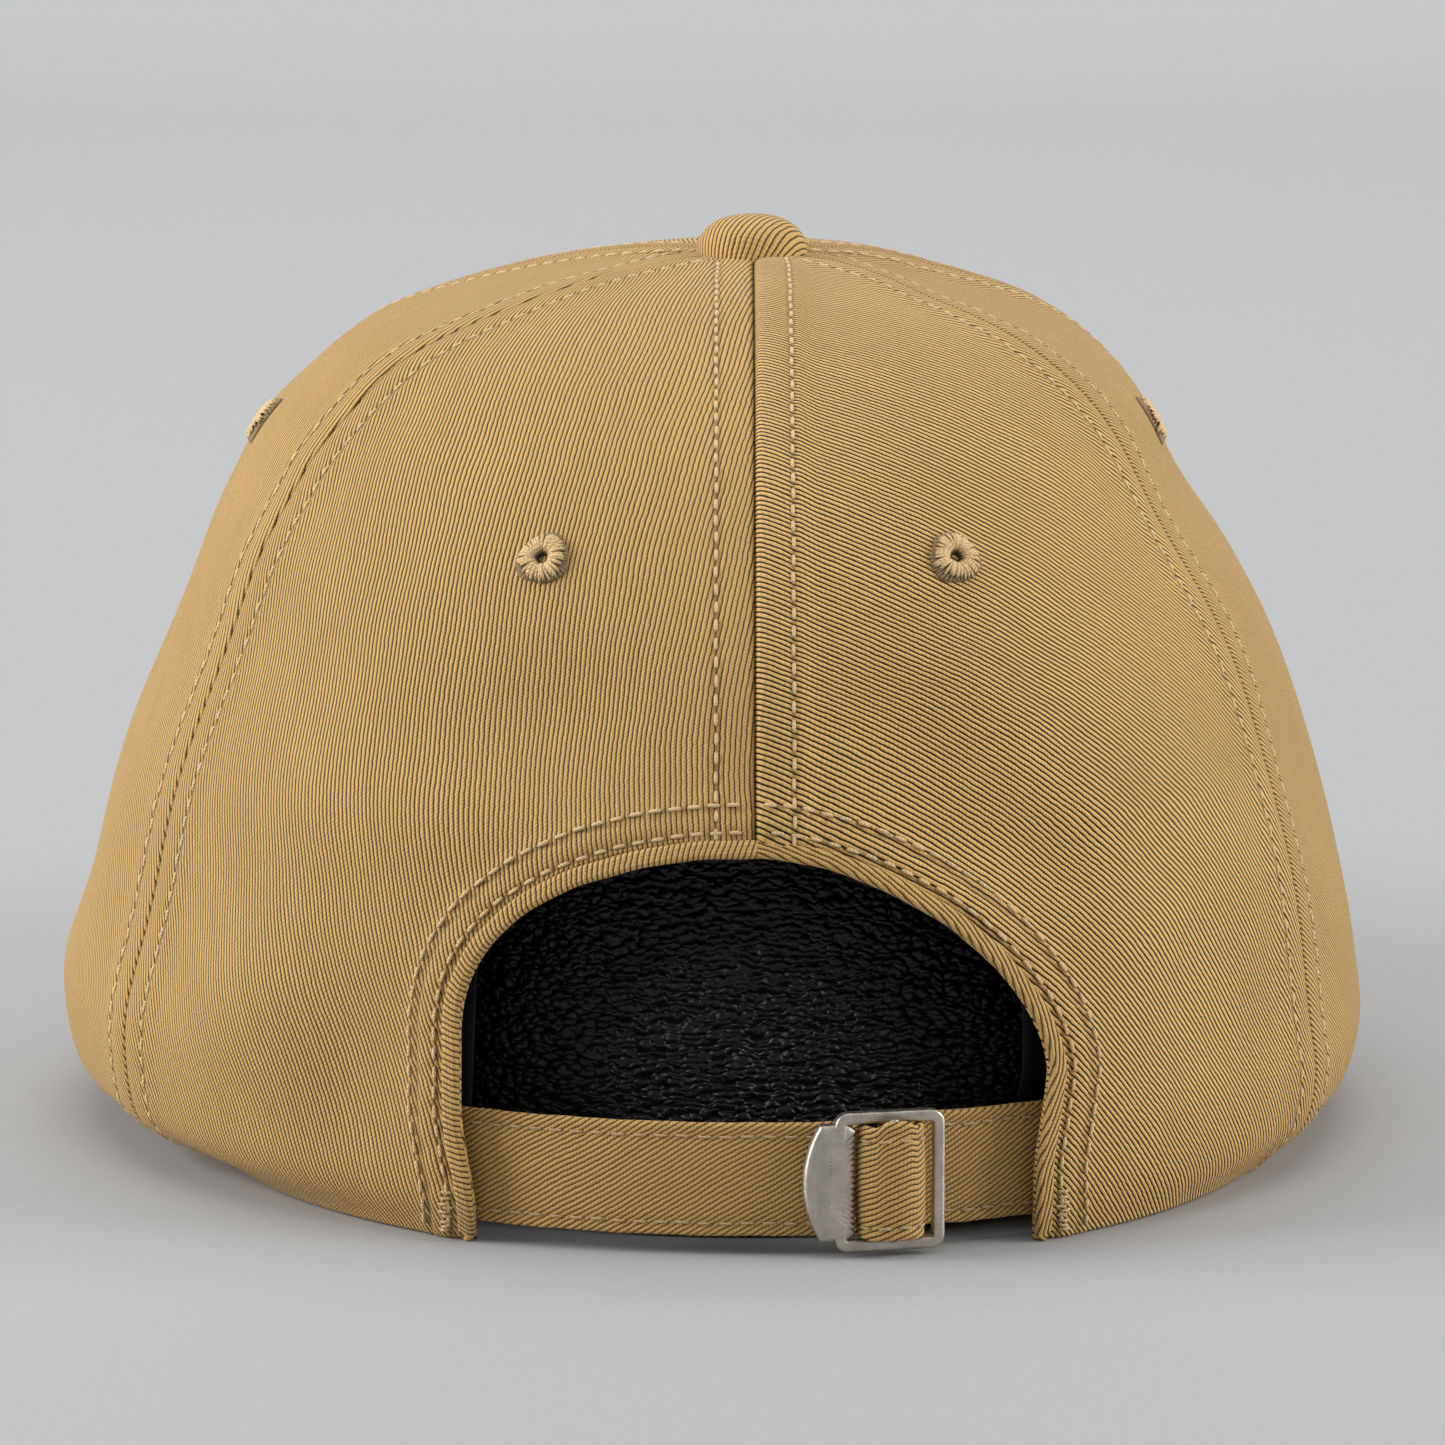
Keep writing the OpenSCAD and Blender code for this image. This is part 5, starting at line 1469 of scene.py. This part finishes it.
# ---------- floor, light and camera ----------
stageLook = {"lens": 194.6, "elevation": 10.2, "distance": 1.05, "aim": (0.004, 0.03306, 0.0508)}


def stageMaterial():
    # pale floor with faint random tone; its colour grows lighter away from the cap, painted light for the more brightly
    # lit backdrop
    m, t, bsdf, coords = startMaterial("paleFloor", 0.9)
    f = noise(t, coords.outputs["Object"], 900, 3.0)
    parts = t.nodes.new("ShaderNodeSeparateXYZ")
    link(t, coords.outputs["Object"], parts.inputs[0])
    far = t.nodes.new("ShaderNodeMapRange")
    link(t, parts.outputs[1], far.inputs[0])
    for k, value in enumerate((-0.3, -1.7, 0.0, 1.0)):
        far.inputs[k + 1].default_value = value
    near = mixColor(t, f, (0.395, 0.40, 0.405, 1), (0.45, 0.455, 0.46, 1))
    beyond = mixColor(t, f, (0.50, 0.505, 0.51, 1), (0.57, 0.575, 0.58, 1))
    link(t, mixColor(t, far.outputs[0], near, beyond), bsdf.inputs["Base Color"])
    return m


# floor and backdrop in one sheet, flat under the cap and curving up far behind it
s = np.linspace(-1.0, 3.4, 90)
flatEnd, bendR = 1.3, 0.9
ang = np.clip((s - flatEnd) / bendR, 0, np.pi / 2)
up = np.where(s < flatEnd, 0, bendR * (1 - np.cos(ang)) + np.maximum(0, s - flatEnd - bendR * np.pi / 2))
back = np.where(s < flatEnd, s, flatEnd + bendR * np.sin(ang))
xs = np.linspace(-2.6, 2.6, 40)
floorPts = np.stack(np.broadcast_arrays(xs[None, :], -back[:, None], up[:, None]), -1) * 1000
floor = makePiece("floor", floorPts, gridFaces(90, 40), material=stageMaterial(), body=None)

world = bpy.data.worlds.new("studio")
bpy.context.scene.world = world
world.use_nodes = True
world.node_tree.nodes["Background"].inputs[0].default_value = (0.93, 0.96, 1.0, 1)
world.node_tree.nodes["Background"].inputs[1].default_value = 0.335


def softLight(name, place, target, size, power):
    data = bpy.data.lights.new(name, "AREA")
    data.shape, data.size, data.size_y, data.energy = "RECTANGLE", size[0], size[1], power
    obj = bpy.data.objects.new(name, data)
    bpy.context.scene.collection.objects.link(obj)
    obj.location = place
    d = np.array(target, float) - np.array(place, float)
    obj.rotation_euler = Vector(d).to_track_quat("-Z", "Y").to_euler()
    return obj


softLight("topLight", (0.0, 0.05, 1.25), (0, 0, 0.05), (1.1, 1.1), 5)
softLight("leftLight", (1.25, 0.15, 0.5), (0, 0.03, 0.05), (0.8, 0.8), 17)
softLight("rightLight", (-1.25, 0.25, 0.5), (0, 0.03, 0.05), (0.8, 0.8), 13)
softLight("backdropLight", (0.0, -0.9, 1.9), (0, -2.3, 0.5), (2.2, 0.8), 25)

camera = bpy.data.objects.new("camera", bpy.data.cameras.new("camera"))
bpy.context.scene.collection.objects.link(camera)
bpy.context.scene.camera = camera
e = math.radians(stageLook["elevation"])
ax, ay, az = stageLook["aim"]
camera.location = (ax, ay + stageLook["distance"] * math.cos(e), az + stageLook["distance"] * math.sin(e))
camera.rotation_euler = (math.pi / 2 - e, 0, math.pi)
camera.data.lens = stageLook["lens"]
camera.data.sensor_width = 36
bpy.context.scene.view_settings.view_transform = "Standard"

print("done")
